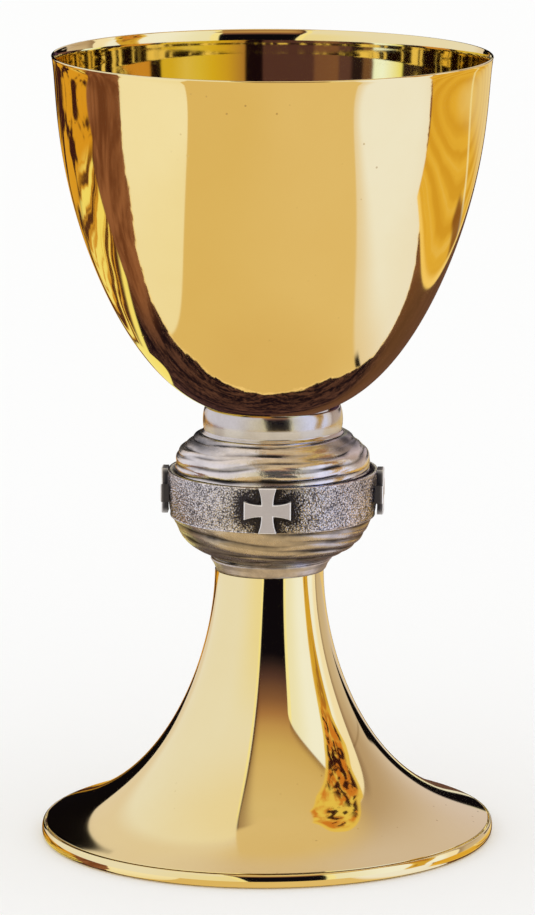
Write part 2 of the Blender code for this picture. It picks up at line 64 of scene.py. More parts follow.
class Sock:
    """A node socket that can be used in plain arithmetic."""

    def __init__(self, tree, out):
        self.tree, self.out = tree, out

    def _math(self, op, *others, clamp=False):
        node = self.tree.nodes.new("ShaderNodeMath")
        node.operation = op
        node.use_clamp = clamp
        for i, value in enumerate((self,) + others):
            if isinstance(value, Sock):
                self.tree.links.new(value.out, node.inputs[i])
            else:
                node.inputs[i].default_value = value
        return Sock(self.tree, node.outputs[0])

    def __add__(self, o): return self._math("ADD", o)
    __radd__ = __add__
    def __mul__(self, o): return self._math("MULTIPLY", o)
    __rmul__ = __mul__
    def __sub__(self, o): return self._math("SUBTRACT", o)
    def __rsub__(self, o): return (self * -1.0) + o
    def __truediv__(self, o): return self._math("DIVIDE", o)
    def __neg__(self): return self * -1.0
    def __pow__(self, o): return self._math("POWER", o)
    def max(self, o): return self._math("MAXIMUM", o)
    def min(self, o): return self._math("MINIMUM", o)
    def abs(self): return self._math("ABSOLUTE")
    def sqrt(self): return self._math("SQRT")
    def sin(self): return self._math("SINE")
    def asin(self): return self._math("ARCSINE")
    def atan2(self, o): return self._math("ARCTAN2", o)
    def clip(self): return self._math("ADD", 0.0, clamp=True)

    def step(self, start, end):
        """0 below start, 1 above end, smooth between; start may be above end."""
        node = self.tree.nodes.new("ShaderNodeMapRange")
        node.interpolation_type = "SMOOTHSTEP"
        flip = start > end
        lo, hi = (end, start) if flip else (start, end)
        self.tree.links.new(self.out, node.inputs["Value"])
        node.inputs["From Min"].default_value = lo
        node.inputs["From Max"].default_value = hi
        node.inputs["To Min"].default_value = 1.0 if flip else 0.0
        node.inputs["To Max"].default_value = 0.0 if flip else 1.0
        return Sock(self.tree, node.outputs["Result"])


def colour_mix(tree, fac, a, b, mode="MIX"):
    node = tree.nodes.new("ShaderNodeMix")
    node.data_type = "RGBA"
    node.blend_type = mode
    for name, value in ((0, fac), (6, a), (7, b)):
        if isinstance(value, Sock):
            tree.links.new(value.out, node.inputs[name])
        elif name == 0:
            node.inputs[name].default_value = value
        else:
            node.inputs[name].default_value = (*value[:3], 1.0)
    return Sock(tree, node.outputs[2])


def noise_of(tree, vector, scale, detail=2.0, rough=0.5, distort=0.0, kind="Fac"):
    node = tree.nodes.new("ShaderNodeTexNoise")
    node.inputs["Scale"].default_value = scale
    node.inputs["Detail"].default_value = detail
    node.inputs["Roughness"].default_value = rough
    node.inputs["Distortion"].default_value = distort
    if vector is not None:
        tree.links.new(vector.out, node.inputs["Vector"])
    return Sock(tree, node.outputs[kind if kind in node.outputs else 0])


def voronoi_of(tree, vector, scale, feature="F1", randomness=1.0):
    node = tree.nodes.new("ShaderNodeTexVoronoi")
    node.feature = feature
    node.inputs["Scale"].default_value = scale
    node.inputs["Randomness"].default_value = randomness
    if vector is not None:
        tree.links.new(vector.out, node.inputs["Vector"])
    return Sock(tree, node.outputs["Distance"])


def combine(tree, x, y, z):
    node = tree.nodes.new("ShaderNodeCombineXYZ")
    for i, value in enumerate((x, y, z)):
        if isinstance(value, Sock):
            tree.links.new(value.out, node.inputs[i])
        else:
            node.inputs[i].default_value = value
    return Sock(tree, node.outputs[0])


def new_material(name):
    mat = bpy.data.materials.new(name)
    mat.use_nodes = True
    tree = mat.node_tree
    bsdf = tree.nodes["Principled BSDF"]
    coords = tree.nodes.new("ShaderNodeTexCoord")
    return mat, tree, bsdf, Sock(tree, coords.outputs["Object"])


def coords_of(tree):
    return next(n for n in tree.nodes if n.type == "TEX_COORD")


def put(tree, value, socket):
    if isinstance(value, Sock):
        tree.links.new(value.out, socket)
    else:
        socket.default_value = value


def bump(tree, bsdf, height, distance, strength=1.0):
    node = tree.nodes.new("ShaderNodeBump")
    node.inputs["Strength"].default_value = strength
    node.inputs["Distance"].default_value = distance
    tree.links.new(height.out, node.inputs["Height"])
    previous = bsdf.inputs["Normal"].links
    if previous:
        tree.links.new(previous[0].from_socket, node.inputs["Normal"])
    tree.links.new(node.outputs["Normal"], bsdf.inputs["Normal"])


def split(tree, vector):
    node = tree.nodes.new("ShaderNodeSeparateXYZ")
    tree.links.new(vector.out, node.inputs[0])
    return [Sock(tree, o) for o in node.outputs]


def studio_only(tree, bsdf, near=0.004, from_above=False, skin=False):
    """Mirrors show the studio and not the distant parts of the piece itself: a mirror
    ray that has come further than near passes through. What the camera sees stays."""
    nodes, links = tree.nodes, tree.links
    path = nodes.new("ShaderNodeLightPath")
    glossy = Sock(tree, path.outputs["Is Glossy Ray"])
    passed = Sock(tree, path.outputs["Transparent Depth"]).step(0.4, 0.6)
    geo = nodes.new("ShaderNodeNewGeometry")
    if skin:
        far = Sock(tree, geo.outputs["Backfacing"])
    else:
        length = Sock(tree, path.outputs["Ray Length"])
        far = length._math("GREATER_THAN", near)
    if from_above:
        upward = split(tree, Sock(tree, geo.outputs["Incoming"]))[2]
        far = far.max(upward._math("GREATER_THAN", 0.02))
    share = glossy * far.max(passed)
    clear = nodes.new("ShaderNodeBsdfTransparent")
    inner = nodes.new("ShaderNodeMixShader")
    links.new(share.out, inner.inputs[0])
    links.new(bsdf.outputs[0], inner.inputs[1])
    links.new(clear.outputs[0], inner.inputs[2])
    outer = nodes.new("ShaderNodeMixShader")
    links.new(path.outputs["Is Camera Ray"], outer.inputs[0])
    links.new(inner.outputs[0], outer.inputs[1])
    links.new(bsdf.outputs[0], outer.inputs[2])
    target = next(n for n in nodes if n.type == "OUTPUT_MATERIAL")
    links.new(outer.outputs[0], target.inputs["Surface"])


# ------------------------------------------------------------------ finishes
GOLD = (0.95, 0.80, 0.40)


def gold_finish(name, rough=0.028, skin=False, eased=None):
    """Mirror gilding: near-smooth, faint haze, pin pricks and polishing waves."""
    mat, tree, bsdf, obj = new_material(name)
    x, y, z = split(tree, obj)
    cloud = noise_of(tree, obj, 45.0, 4.0, 0.6)
    fine = noise_of(tree, obj, 900.0, 3.0, 0.6)
    specks = voronoi_of(tree, obj, 260.0)
    prick = specks.step(0.10, 0.03)
    rare = noise_of(tree, obj, 33.0, 1.0).step(0.50, 0.66)
    prick = prick * rare
    base = colour_mix(tree, cloud.step(0.3, 0.75) * 0.35, GOLD,
                      (GOLD[0] * 0.97, GOLD[1] * 0.93, GOLD[2] * 0.84))
    base = colour_mix(tree, prick * 0.55, base, (0.42, 0.25, 0.08))
    put(tree, base, bsdf.inputs["Base Color"])
    bsdf.inputs["Metallic"].default_value = 1.0
    haze = cloud.step(0.35, 0.8) * 0.03 + fine * 0.02 + prick * 0.2 + rough
    put(tree, haze, bsdf.inputs["Roughness"])
    # lathe lines are rings round the axis, a few hundredths of a micron deep
    radius = (x * x + y * y).sqrt()
    turning = noise_of(tree, combine(tree, radius, z, 0.0), 1400.0, 2.0, 0.6)
    if eased:
        # the drawn neck is very slightly coned towards its top
        geo = tree.nodes.new("ShaderNodeNewGeometry")
        tilt = tree.nodes.new("ShaderNodeVectorMath")
        tilt.operation = "ADD"
        tree.links.new(geo.outputs["Normal"], tilt.inputs[0])
        tree.links.new(combine(tree, 0.0, 0.0, z.step(*eased) * 0.075).out,
                       tilt.inputs[1])
        unit = tree.nodes.new("ShaderNodeVectorMath")
        unit.operation = "NORMALIZE"
        tree.links.new(tilt.outputs[0], unit.inputs[0])
        tree.links.new(unit.outputs[0], bsdf.inputs["Normal"])
    waves = noise_of(tree, obj, 28.0, 2.0, 0.45)
    bump(tree, bsdf, waves, 0.00002, 1.0)
    bump(tree, bsdf, turning, 0.0000002, 1.0)
    bump(tree, bsdf, prick * -1.0, 0.00001, 0.6)
    studio_only(tree, bsdf, skin=skin)
    return mat


def silver_finish(name, base, dark, rough, grain_scale, grain_depth, oxide=0.5,
                  use_oxide_and_shade=False, brushed=False, hairline=0.0, from_above=False,
                  calm=0.0, metallic=1.0, edge_highlight=None, dots=0.0, lift=0.0):
    """Silver with oxide in the hollows and bright ridges, from the piece's own relief; its baked
    attribute also carries painted shade, and its edge colour is a painted highlight.
    """
    mat, tree, bsdf, obj = new_material(name)
    x, y, z = split(tree, obj)
    cloud = noise_of(tree, obj, 180.0, 5.0, 0.65)
    fine = noise_of(tree, obj, 2600.0, 3.0, 0.65)
    geo = tree.nodes.new("ShaderNodeNewGeometry")
    point = Sock(tree, geo.outputs["Pointiness"])
    shade = cloud.step(0.35, 0.78) * oxide
    if use_oxide_and_shade:
        # the baked attribute holds oxide in the hollows, and painted shade on the dome shoulders and on
        # the sides of the crosses
        attr = tree.nodes.new("ShaderNodeAttribute")
        attr.attribute_name = "oxide_and_shade"
        oxide_and_shade = Sock(tree, attr.outputs["Fac"])
        shade = (shade + oxide_and_shade).clip()
    if dots:
        # struck dots: bright on top, oxide between them
        cell = voronoi_of(tree, obj, 2300.0)
        shade = (shade + cell.step(0.34, 0.66) * dots).clip()
    col = colour_mix(tree, fine.step(0.3, 0.7) * 0.25, base,
                     tuple(min(1.0, c * 1.25) for c in base))
    col = colour_mix(tree, shade, col, dark)
    if edge_highlight:
        # painted highlight on the edges: the parts that face neither outwards nor sideways come out
        # bright
        nx, ny, nz = split(tree, Sock(tree, geo.outputs["True Normal"]))
        face = nx.abs().max(ny.abs()).max(nz.abs())
        col = colour_mix(tree, face.step(0.97, 0.90), col, edge_highlight)
    put(tree, col, bsdf.inputs["Base Color"])
    if calm:
        # the low surroundings come back paler than on gilding
        below = split(tree, Sock(tree, coords_of(tree).outputs["Reflection"]))[2]
        put(tree, below.step(-0.16, -0.26) * -calm + 1.0, bsdf.inputs["Metallic"])
    else:
        bsdf.inputs["Metallic"].default_value = metallic
    roughness = fine * 0.12 + shade * 0.16 + (rough - 0.06)
    put(tree, roughness, bsdf.inputs["Roughness"])
    if lift:
        tilt = tree.nodes.new("ShaderNodeVectorMath")
        tilt.operation = "ADD"
        tree.links.new(geo.outputs["Normal"], tilt.inputs[0])
        tilt.inputs[1].default_value = (0.0, 0.0, lift)
        unit = tree.nodes.new("ShaderNodeVectorMath")
        unit.operation = "NORMALIZE"
        tree.links.new(tilt.outputs[0], unit.inputs[0])
        tree.links.new(unit.outputs[0], bsdf.inputs["Normal"])
    if brushed:
        lines = noise_of(tree, combine(tree, x * 0.08, y * 0.08, z), 5200.0, 2.0, 0.7)
        bump(tree, bsdf, lines, hairline or 0.000006, 1.0)
    grain = noise_of(tree, obj, grain_scale, 3.0, 0.6)
    bump(tree, bsdf, grain, grain_depth, 1.0)
    studio_only(tree, bsdf, from_above=from_above)
    return mat


def plain_metal(name, colour, rough, scale=1500.0, depth=0.00001, metallic=1.0,
                stain=(0.2, 0.15, 0.1), stain_amount=0.3):
    mat, tree, bsdf, obj = new_material(name)
    x, y, z = split(tree, obj)
    cloud = noise_of(tree, obj, 320.0, 5.0, 0.65)
    rings = noise_of(tree, combine(tree, (x * x + y * y).sqrt(), z, 0.0), scale, 2.0)
    col = colour_mix(tree, cloud.step(0.45, 0.8) * stain_amount, colour, stain)
    put(tree, col, bsdf.inputs["Base Color"])
    bsdf.inputs["Metallic"].default_value = metallic
    put(tree, cloud * 0.2 + (rough - 0.08), bsdf.inputs["Roughness"])
    bump(tree, bsdf, rings, depth, 0.7)
    return mat


# ------------------------------------------------------------------ profiles (mm)


def bezier(points, count):
    pts = np.array(points, float)
    n = len(pts) - 1
    t = np.linspace(0.0, 1.0, count)[:, None]
    return sum(math.comb(n, k) * t ** k * (1 - t) ** (n - k) * pts[k]
               for k in range(n + 1))


def side_of(line, wall):
    """The line moved to its right-hand side, seen along its run."""
    d = np.gradient(line, axis=0)
    d /= np.linalg.norm(d, axis=1)[:, None]
    w = np.broadcast_to(np.asarray(wall, float), (len(line),))[:, None]
    return line + w * np.stack([d[:, 1], -d[:, 0]], 1)


def arc(cr, cz, radius, start, end, count):
    a = np.radians(np.linspace(start, end, count))
    return np.stack([cr + radius * np.cos(a), cz + radius * np.sin(a)], 1)


def rounded(points, radius, steps=5, closed=True):
    """A polygon with every corner rounded; radius may be one value or one per corner."""
    pts = [np.array(p, float) for p in points]
    radii = radius if hasattr(radius, "__len__") else [radius] * len(pts)
    out = []
    n = len(pts)
    for i, p in enumerate(pts):
        if not closed and i in (0, n - 1):
            out.append(p)
            continue
        a, b = pts[i - 1] - p, pts[(i + 1) % n] - p
        la, lb = np.linalg.norm(a), np.linalg.norm(b)
        a, b = a / la, b / lb
        r = radii[i]
        if r <= 0:
            out.append(p)
            continue
        angle = math.acos(max(-1.0, min(1.0, float(a @ b))))
        cut = min(r / max(math.tan(angle / 2), 1e-6), la * 0.45, lb * 0.45)
        p0, p1 = p + a * cut, p + b * cut
        for k in range(steps + 1):
            t = k / steps
            out.append((1 - t) ** 2 * p0 + 2 * t * (1 - t) * p + t ** 2 * p1)
    return np.array(out)


def resample(line, step):
    """Even spacing along a polyline."""
    line = np.array(line, float)
    d = np.r_[0.0, np.cumsum(np.hypot(*np.diff(line, axis=0).T))]
    count = max(2, int(math.ceil(d[-1] / step)) + 1)
    s = np.linspace(0.0, d[-1], count)
    return np.stack([np.interp(s, d, line[:, 0]), np.interp(s, d, line[:, 1])], 1)


def arc_length(line):
    d = np.r_[0.0, np.cumsum(np.hypot(*np.diff(line, axis=0).T))]
    return d / d[-1]


# ------------------------------------------------------------------ mesh builders


def grid_piece(name, points, closed, material, body, nodes=(), slot=None,
               poles=(False, False), sharp=40.0, attribute=None, second=None):
    """A piece from points[segment, profile, xyz] in mm, wrapped round the axis.

    The profile runs down the outer side. Poles are profile ends on the axis.
    """
    m, n, _ = points.shape
    first, last = poles
    lo, hi = (1 if first else 0), (n - 1 if last else n)
    body_points = points[:, lo:hi]
    k = hi - lo
    verts = (body_points.reshape(-1, 3) * MM).tolist()
    faces = []
    idx = np.arange(m * k).reshape(m, k)
    nxt = np.roll(idx, -1, axis=0)
    span = k if closed else k - 1
    for j in range(span):
        j2 = (j + 1) % k
        a, b, c, d = idx[:, j], idx[:, j2], nxt[:, j2], nxt[:, j]
        faces.append(np.stack([a, b, c, d], 1))
    faces = np.concatenate(faces).tolist()
    if first:
        verts.append((points[:, 0].mean(0) * MM).tolist())
        pole = len(verts) - 1
        faces += [[pole, int(idx[i, 0]), int(nxt[i, 0])] for i in range(m)]
    if last:
        verts.append((points[:, -1].mean(0) * MM).tolist())
        pole = len(verts) - 1
        faces += [[int(idx[i, k - 1]), pole, int(nxt[i, k - 1])] for i in range(m)]
    mesh = bpy.data.meshes.new(name)
    mesh.from_pydata(verts, [], faces)
    mesh.shade_smooth()
    if sharp:
        mesh.set_sharp_from_angle(angle=math.radians(sharp))
    if attribute is not None:
        label, values = attribute
        data = mesh.attributes.new(label, "FLOAT", "POINT")
        flat = np.zeros(len(verts), np.float32)
        flat[: m * k] = values[:, lo:hi].reshape(-1)
        data.data.foreach_set("value", flat)
    obj = bpy.data.objects.new(name, mesh)
    scene.collection.objects.link(obj)
    dress(obj, material, body, nodes)
    if second is not None:
        # the faces before this profile point wear the second finish
        finish, border = second
        mesh.materials.append(finish)
        index = np.zeros(len(faces), np.int32)
        index[: (border - lo) * m] = 1
        if first:
            start = span * m
            index[start : start + m] = 1
        mesh.polygons.foreach_set("material_index", index)
    return obj


def off_axis(obj, shift):
    """Fitted pieces stand slightly to one side, in mm towards +X."""
    obj.data.transform(Matrix.Translation((shift * MM, 0.0, 0.0)))
    return obj


def dress(obj, material, body, nodes=()):
    obj.data.materials.clear()
    obj.data.materials.append(material)
    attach(obj, body)
    if nodes:
        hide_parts(*nodes)
    return obj


def around(profile, segments, radial=None, lift=None):
    """points[segment, profile, xyz] of a turned shape.

    The seam faces the back. radial(phi, profile) adds to the radius and
    lift(phi, profile) moves along the profile's outward normal, both in mm.
    """
    phi = np.linspace(0.0, TAU, segments, endpoint=False)
    r = np.broadcast_to(profile[:, 0], (segments, len(profile))).copy()
    z = np.broadcast_to(profile[:, 1], (segments, len(profile))).copy()
    if lift is not None:
        d = np.gradient(profile, axis=0)
        d /= np.maximum(np.linalg.norm(d, axis=1), 1e-9)[:, None]
        h = lift(phi[:, None], profile)
        r = r - d[:, 1] * h
        z = z + d[:, 0] * h
    if radial is not None:
        r = r + radial(phi[:, None], profile)
    # phi 0 faces the front, -Y, and grows towards +X
    return np.stack([r * np.sin(phi)[:, None], -r * np.cos(phi)[:, None], z], 2)


def turned(name, profile, segments, material, body, nodes=(), slot=None,
           closed=True, poles=(False, False), **kw):
    return grid_piece(name, around(np.array(profile, float), segments), closed,
                      material, body, nodes, slot, poles, **kw)


# smooth repeatable noise on the cylinder, no seam
def ring_noise(phi, s, seed, around_n=5, along=3.0, terms=7):
    rng = np.random.default_rng(seed)
    out = 0.0
    for _ in range(terms):
        k = rng.integers(1, around_n + 1)
        f = rng.uniform(0.3, 1.0) * along
        p, q = rng.uniform(0, TAU, 2)
        out = out + rng.uniform(0.4, 1.0) * np.sin(k * phi + p) * np.cos(f * s * TAU + q)
    return out / terms ** 0.5


# ------------------------------------------------------------------ finishes in use
gold_cup = gold_finish("gilt_cup_polish")
gold_bowl = gold_finish("gilt_bowl_polish", skin=True)
gold_foot = gold_finish("gilt_foot_polish", rough=0.03, eased=(0.034, 0.060))
gold_ring = gold_finish("gilt_ring_polish", rough=0.04)
silver_bright = silver_finish("silver_polished", (0.64, 0.58, 0.50), (0.24, 0.20, 0.18),
                              0.17, 900.0, 0.00001, oxide=0.2, from_above=True,
                              calm=0.8, metallic=0.9)
silver_low = silver_finish("silver_lower_collar", (0.64, 0.55, 0.46), (0.12, 0.10, 0.09),
                           0.34, 1300.0, 0.00004, oxide=0.6, metallic=0.7)
silver_cast_up = silver_finish("silver_cast_upper", (0.80, 0.72, 0.63), (0.045, 0.040, 0.038),
                               0.14, 1500.0, 0.00004, oxide=0.22, use_oxide_and_shade=True,
                               metallic=0.9)
silver_cast_low = silver_finish("silver_cast_lower", (0.62, 0.54, 0.45), (0.05, 0.042, 0.037),
                                0.26, 1500.0, 0.00004, oxide=0.35, use_oxide_and_shade=True,
                                metallic=0.85)
silver_grain = silver_finish("silver_grained", (0.89, 0.80, 0.72), (0.045, 0.040, 0.043),
                             0.22, 2400.0, 0.00003, oxide=0.30, use_oxide_and_shade=True,
                             dots=0.56, lift=0.12)
silver_cross = silver_finish("silver_cross_brushed", (0.52, 0.47, 0.455), (0.045, 0.04, 0.045),
                             0.36, 1800.0, 0.00001, oxide=0.06, brushed=True,
                             use_oxide_and_shade=True, metallic=0.3, edge_highlight=(0.86, 0.83, 0.80))
brass = plain_metal("brass_machined", (0.80, 0.60, 0.28), 0.32)
steel = plain_metal("steel_rod", (0.50, 0.50, 0.51), 0.36, stain=(0.22, 0.16, 0.12))
zinc = plain_metal("zinc_plate", (0.66, 0.65, 0.60), 0.38, stain=(0.45, 0.40, 0.28))
fibre = plain_metal("red_fibre", (0.30, 0.07, 0.04), 0.8, 2200.0, 0.00003, 0.0,
                    stain=(0.16, 0.03, 0.02), stain_amount=0.6)

STEM = "stem_assembly"
CUP = "cup_assembly"

# ------------------------------------------------------------------ cup
HEIGHT = 186.0
CUP_CURVE = [(52.3, HEIGHT), (49.9, 172.8), (53.9, 149.9), (35.0, 117.9),
             (29.0, 99.6), (0.0, 99.6)]
outer = resample(bezier(CUP_CURVE, 900), 0.75)
lip_wall = 0.62
fall = HEIGHT - outer[:, 1]
wall = (lip_wall + 0.20 * np.clip(fall / 1.6, 0.0, 1.0) - 0.24 * np.clip(
    (fall - 2.2) / 4.5, 0.0, 1.0) + 0.32 * np.clip((fall - 14.0) / 25.0, 0.0, 1.0))
inner = side_of(outer, wall)
inner[-1] = (0.0, 99.6 + 0.9)
lip_r = lip_wall / 2
lip = arc(outer[0, 0] - lip_r, HEIGHT - lip_r, lip_r, 178.0, 2.0, 13)
top = HEIGHT - lip_r
cup_profile = np.concatenate([inner[inner[:, 1] < top - 0.05][::-1], lip,
                              outer[outer[:, 1] < top - 0.05]])
turned("cup_bowl", cup_profile, 288, gold_cup, CUP, ["cup"], "gilt", closed=False,
       poles=(True, True), sharp=0,
       second=(gold_bowl, int((inner[:, 1] < top - 0.05).sum()) + 3))

# boss under the cup, with its blind thread
PITCH = 1.25
STUD_TOP = 96.75
boss_profile = rounded([(0.0, 99.2), (11.0, 99.2), (11.0, 96.2), (7.5, 96.2),
                        (7.5, 90.5), (4.75, 90.5), (4.25, 91.0), (4.25, 97.3),
                        (0.0, 98.1)], 0.25, closed=False)
turned("boss_under_cup", boss_profile, 96, brass, CUP, ["cup_boss"], "brass_fitting",
       closed=False, poles=(True, True))

# fibre washer
turned("fibre_seat_washer", rounded([(7.3, 90.2), (7.3, 89.5), (4.3, 89.5), (4.3, 90.2)],
                                    0.15), 96, fibre, "cup_carrier", ["seat_washer"],
       "fibre")


# ------------------------------------------------------------------ threads
def thread_depth(phi, z, pitch=PITCH, depth=0.55):
    """Rounded vee thread: 0 at the crest, -depth at the root."""
    t = (z / pitch - phi / TAU) % 1.0
    tri = 1.0 - np.abs(2.0 * t - 1.0)
    return -depth * (1.0 - np.clip(tri * 1.25 - 0.1, 0.0, 1.0))


def rod_points():
    step = 0.14
    low, high = 43.1, STUD_TOP
    z = np.arange(low + 0.05, high - 0.05, step)[::-1]
    phi = np.linspace(0.0, TAU, 72, endpoint=False)[:, None]
    r = np.full((72, len(z)), 3.9) + thread_depth(phi, z[None, :])
    # lead-in chamfer at both ends, plain shank in the middle
    ends = np.minimum(high - z, z - low)
    r = np.minimum(r, 3.0 + ends[None, :] * 1.1)
    plain = (z > 62.5) & (z < 86.6)
    r[:, plain] = 3.72
    cols = [np.stack([np.zeros((72, 1)), np.zeros((72, 1)), np.full((72, 1), high)], 2)]
    cols.append(np.stack([2.9 * np.sin(phi), -2.9 * np.cos(phi), np.full((72, 1), high)], 2))
    cols.append(np.stack([r * np.sin(phi), -r * np.cos(phi),
                          np.broadcast_to(z, r.shape)], 2))
    cols.append(np.stack([2.9 * np.sin(phi), -2.9 * np.cos(phi), np.full((72, 1), low)], 2))
    cols.append(np.stack([np.zeros((72, 1)), np.zeros((72, 1)), np.full((72, 1), low)], 2))
    return np.concatenate(cols, 1)


grid_piece("threaded_rod", rod_points(), False, steel, STEM, ["tie_rod"], "steel_rod",
           poles=(True, True), sharp=50)


def hex_points(across, z0, z1, bore, chamfer, segments=180, thread=False):
    """A hexagonal nut with chamfered corners, both faces."""
    phi = np.linspace(0.0, TAU, segments, endpoint=False)
    sector = (phi + math.pi / 6) % (math.pi / 3) - math.pi / 6
    hexa = (across / 2) / np.cos(sector)
    flat_r = across / 2 * 0.94
    slope = math.tan(math.radians(30))
    drop = np.maximum(hexa - across / 2 * 0.98, 0.0) * slope if chamfer else hexa * 0
    levels = np.linspace(z1, z0, 41)
    cols = []
    cols.append((np.full(segments, flat_r), np.full(segments, z1)))
    cols.append((np.full(segments, across / 2 * 0.98), np.full(segments, z1)))
    for t in np.linspace(0.0, 1.0, 9):
        cols.append((hexa, (z1 - drop) * (1 - t) + (z0 + drop) * t))
    cols.append((np.full(segments, across / 2 * 0.98), np.full(segments, z0)))
    cols.append((np.full(segments, flat_r), np.full(segments, z0)))
    cols.append((np.full(segments, bore + 0.45), np.full(segments, z0)))
    if thread:
        for z in levels[::-1]:
            edge = min(z - z0, z1 - z)
            r = bore - 0.35 * (1 + thread_depth(phi, np.full(segments, z)) / 0.55)
            r = np.maximum(r, bore + 0.45 - edge * 1.2)
            cols.append((r + 0.0, np.full(segments, z)))
    else:
        cols.append((np.full(segments, bore), np.full(segments, z0 + 0.3)))
        cols.append((np.full(segments, bore), np.full(segments, z1 - 0.3)))
    cols.append((np.full(segments, bore + 0.45), np.full(segments, z1)))
    r = np.stack([c[0] for c in cols], 1)
    z = np.stack([c[1] for c in cols], 1)
    return np.stack([r * np.sin(phi)[:, None], -r * np.cos(phi)[:, None], z], 2)


grid_piece("stud_hexagon", hex_points(15.0, 87.2, 89.2, 3.95, True), True, steel, STEM,
           slot="steel_rod", sharp=25)
grid_piece("m8_clamp_nut", hex_points(13.0, 45.35, 51.85, 4.3, True, thread=True), True,
           zinc, "nut", ["clamp_nut"], "zinc", sharp=25)

turned("core_tube", rounded([(6.5, 86.9), (6.5, 63.35), (4.3, 63.35), (4.3, 86.9)], 0.25),
       96, brass, STEM, ["knop_core_tube"], "brass_fitting")
turned("plain_washer", rounded([(8.0, 56.05), (8.0, 54.45), (4.3, 54.45), (4.3, 56.05)],
                               0.3), 96, zinc, "nut_carrier", ["clamp_washer"], "zinc")


def spring_points():
    """A split washer: one turn of square wire with a small axial step at the cut."""
    count, gap = 120, math.radians(9.0)
    phi = np.linspace(gap / 2, TAU - gap / 2, count)
    rise = (phi / TAU - 0.5) * 0.5
    z0, z1 = 52.15 + 0.27, 54.15 - 0.27
    square = rounded([(7.1, z1), (7.1, z0), (4.3, z0), (4.3, z1)], 0.25, 3)
    r = np.broadcast_to(square[:, 0], (count, len(square)))
    z = square[:, 1][None, :] + rise[:, None]
    return np.stack([r * np.sin(phi)[:, None], -r * np.cos(phi)[:, None], z], 2)


def open_ring(name, points, material, body, nodes):
    m, n, _ = points.shape
    bm = bmesh.new()
    rows = [[bm.verts.new(Vector(p) * MM) for p in row] for row in points.tolist()]
    for a, b in zip(rows, rows[1:]):
        for j in range(n):
            k = (j + 1) % n
            bm.faces.new((a[j], a[k], b[k], b[j]))
    bm.faces.new(rows[0][::-1])
    bm.faces.new(rows[-1])
    bmesh.ops.recalc_face_normals(bm, faces=bm.faces)
    mesh = bpy.data.meshes.new(name)
    bm.to_mesh(mesh)
    bm.free()
    mesh.shade_smooth()
    mesh.set_sharp_from_angle(angle=math.radians(35))
    obj = bpy.data.objects.new(name, mesh)
    scene.collection.objects.link(obj)
    return dress(obj, material, body, nodes)


open_ring("split_spring_washer", spring_points(), steel, "nut_carrier",
          ["spring_washer"])
turned("brass_stem_bush", rounded([(11.5, 63.05), (11.5, 56.35), (4.3, 56.35),
                                   (4.3, 63.05)], 0.35), 128, brass, STEM, ["stem_bush"],
       "brass_fitting")

# ------------------------------------------------------------------ collars
barrel = bezier([(16.0, 102.25), (16.68, 101.2), (16.79, 98.1), (16.35, 96.75)], 26)
foot_roll = bezier([(16.35, 96.75), (16.45, 96.4), (17.0, 96.2), (17.0, 96.0)], 8)
upper = np.concatenate([
    rounded([(13.6, 101.5), (15.7, 102.35)], 0.0, closed=False),
    barrel, foot_roll[1:], np.array([(16.6, 95.85), (13.4, 96.05), (13.3, 101.2)])])
off_axis(turned("collar_under_cup", upper, 256, silver_bright, STEM, ["upper_collar"],
                "silver_polished", sharp=50), 0.6)

low = rounded([(14.2, 66.05), (14.3, 65.7), (13.6, 64.7), (13.15, 63.6), (12.75, 63.15),
               (6.95, 63.35), (6.95, 65.9)], [0.1, 0.15, 0.5, 0.3, 0.15, 0.1, 0.1], 6)
off_axis(turned("collar_on_stem", low, 256, silver_low, STEM, ["lower_collar"],
                "silver_polished", sharp=50), 0.35)


# ------------------------------------------------------------------ cast domes
KNOP_SHIFT = 0.7


def fold(t):
    """One cast fold: a soft crest with a tight crevice on each side."""
    t = t % 1.0
    return np.sin(math.pi * t) ** 0.55


def dome_height(phi, s, count, start, twist, amp, seed):
    warp = 0.34 * ring_noise(phi, s, seed, 3, 0.5, 6) + 0.16 * ring_noise(
        phi, s, seed + 1, 9, 1.4, 8)
    a = fold((s - start) * count + twist * phi / TAU + warp)
    warp2 = 0.55 * ring_noise(phi, s, seed + 2, 4, 0.9, 7)
    b = fold((s - start) * count * 0.72 + (twist - 2) * phi / TAU + warp2)
    share = 0.5 + 0.5 * np.tanh(2.2 * ring_noise(phi, s, seed + 3, 4, 0.7, 6))
    h = np.maximum(a * (0.65 + 0.35 * share), b * (0.95 - 0.45 * share))
    rough = 0.10 * ring_noise(phi, s, seed + 4, 40, 9.0, 40)
    return amp * (h - 0.75) + amp * 0.25 * rough


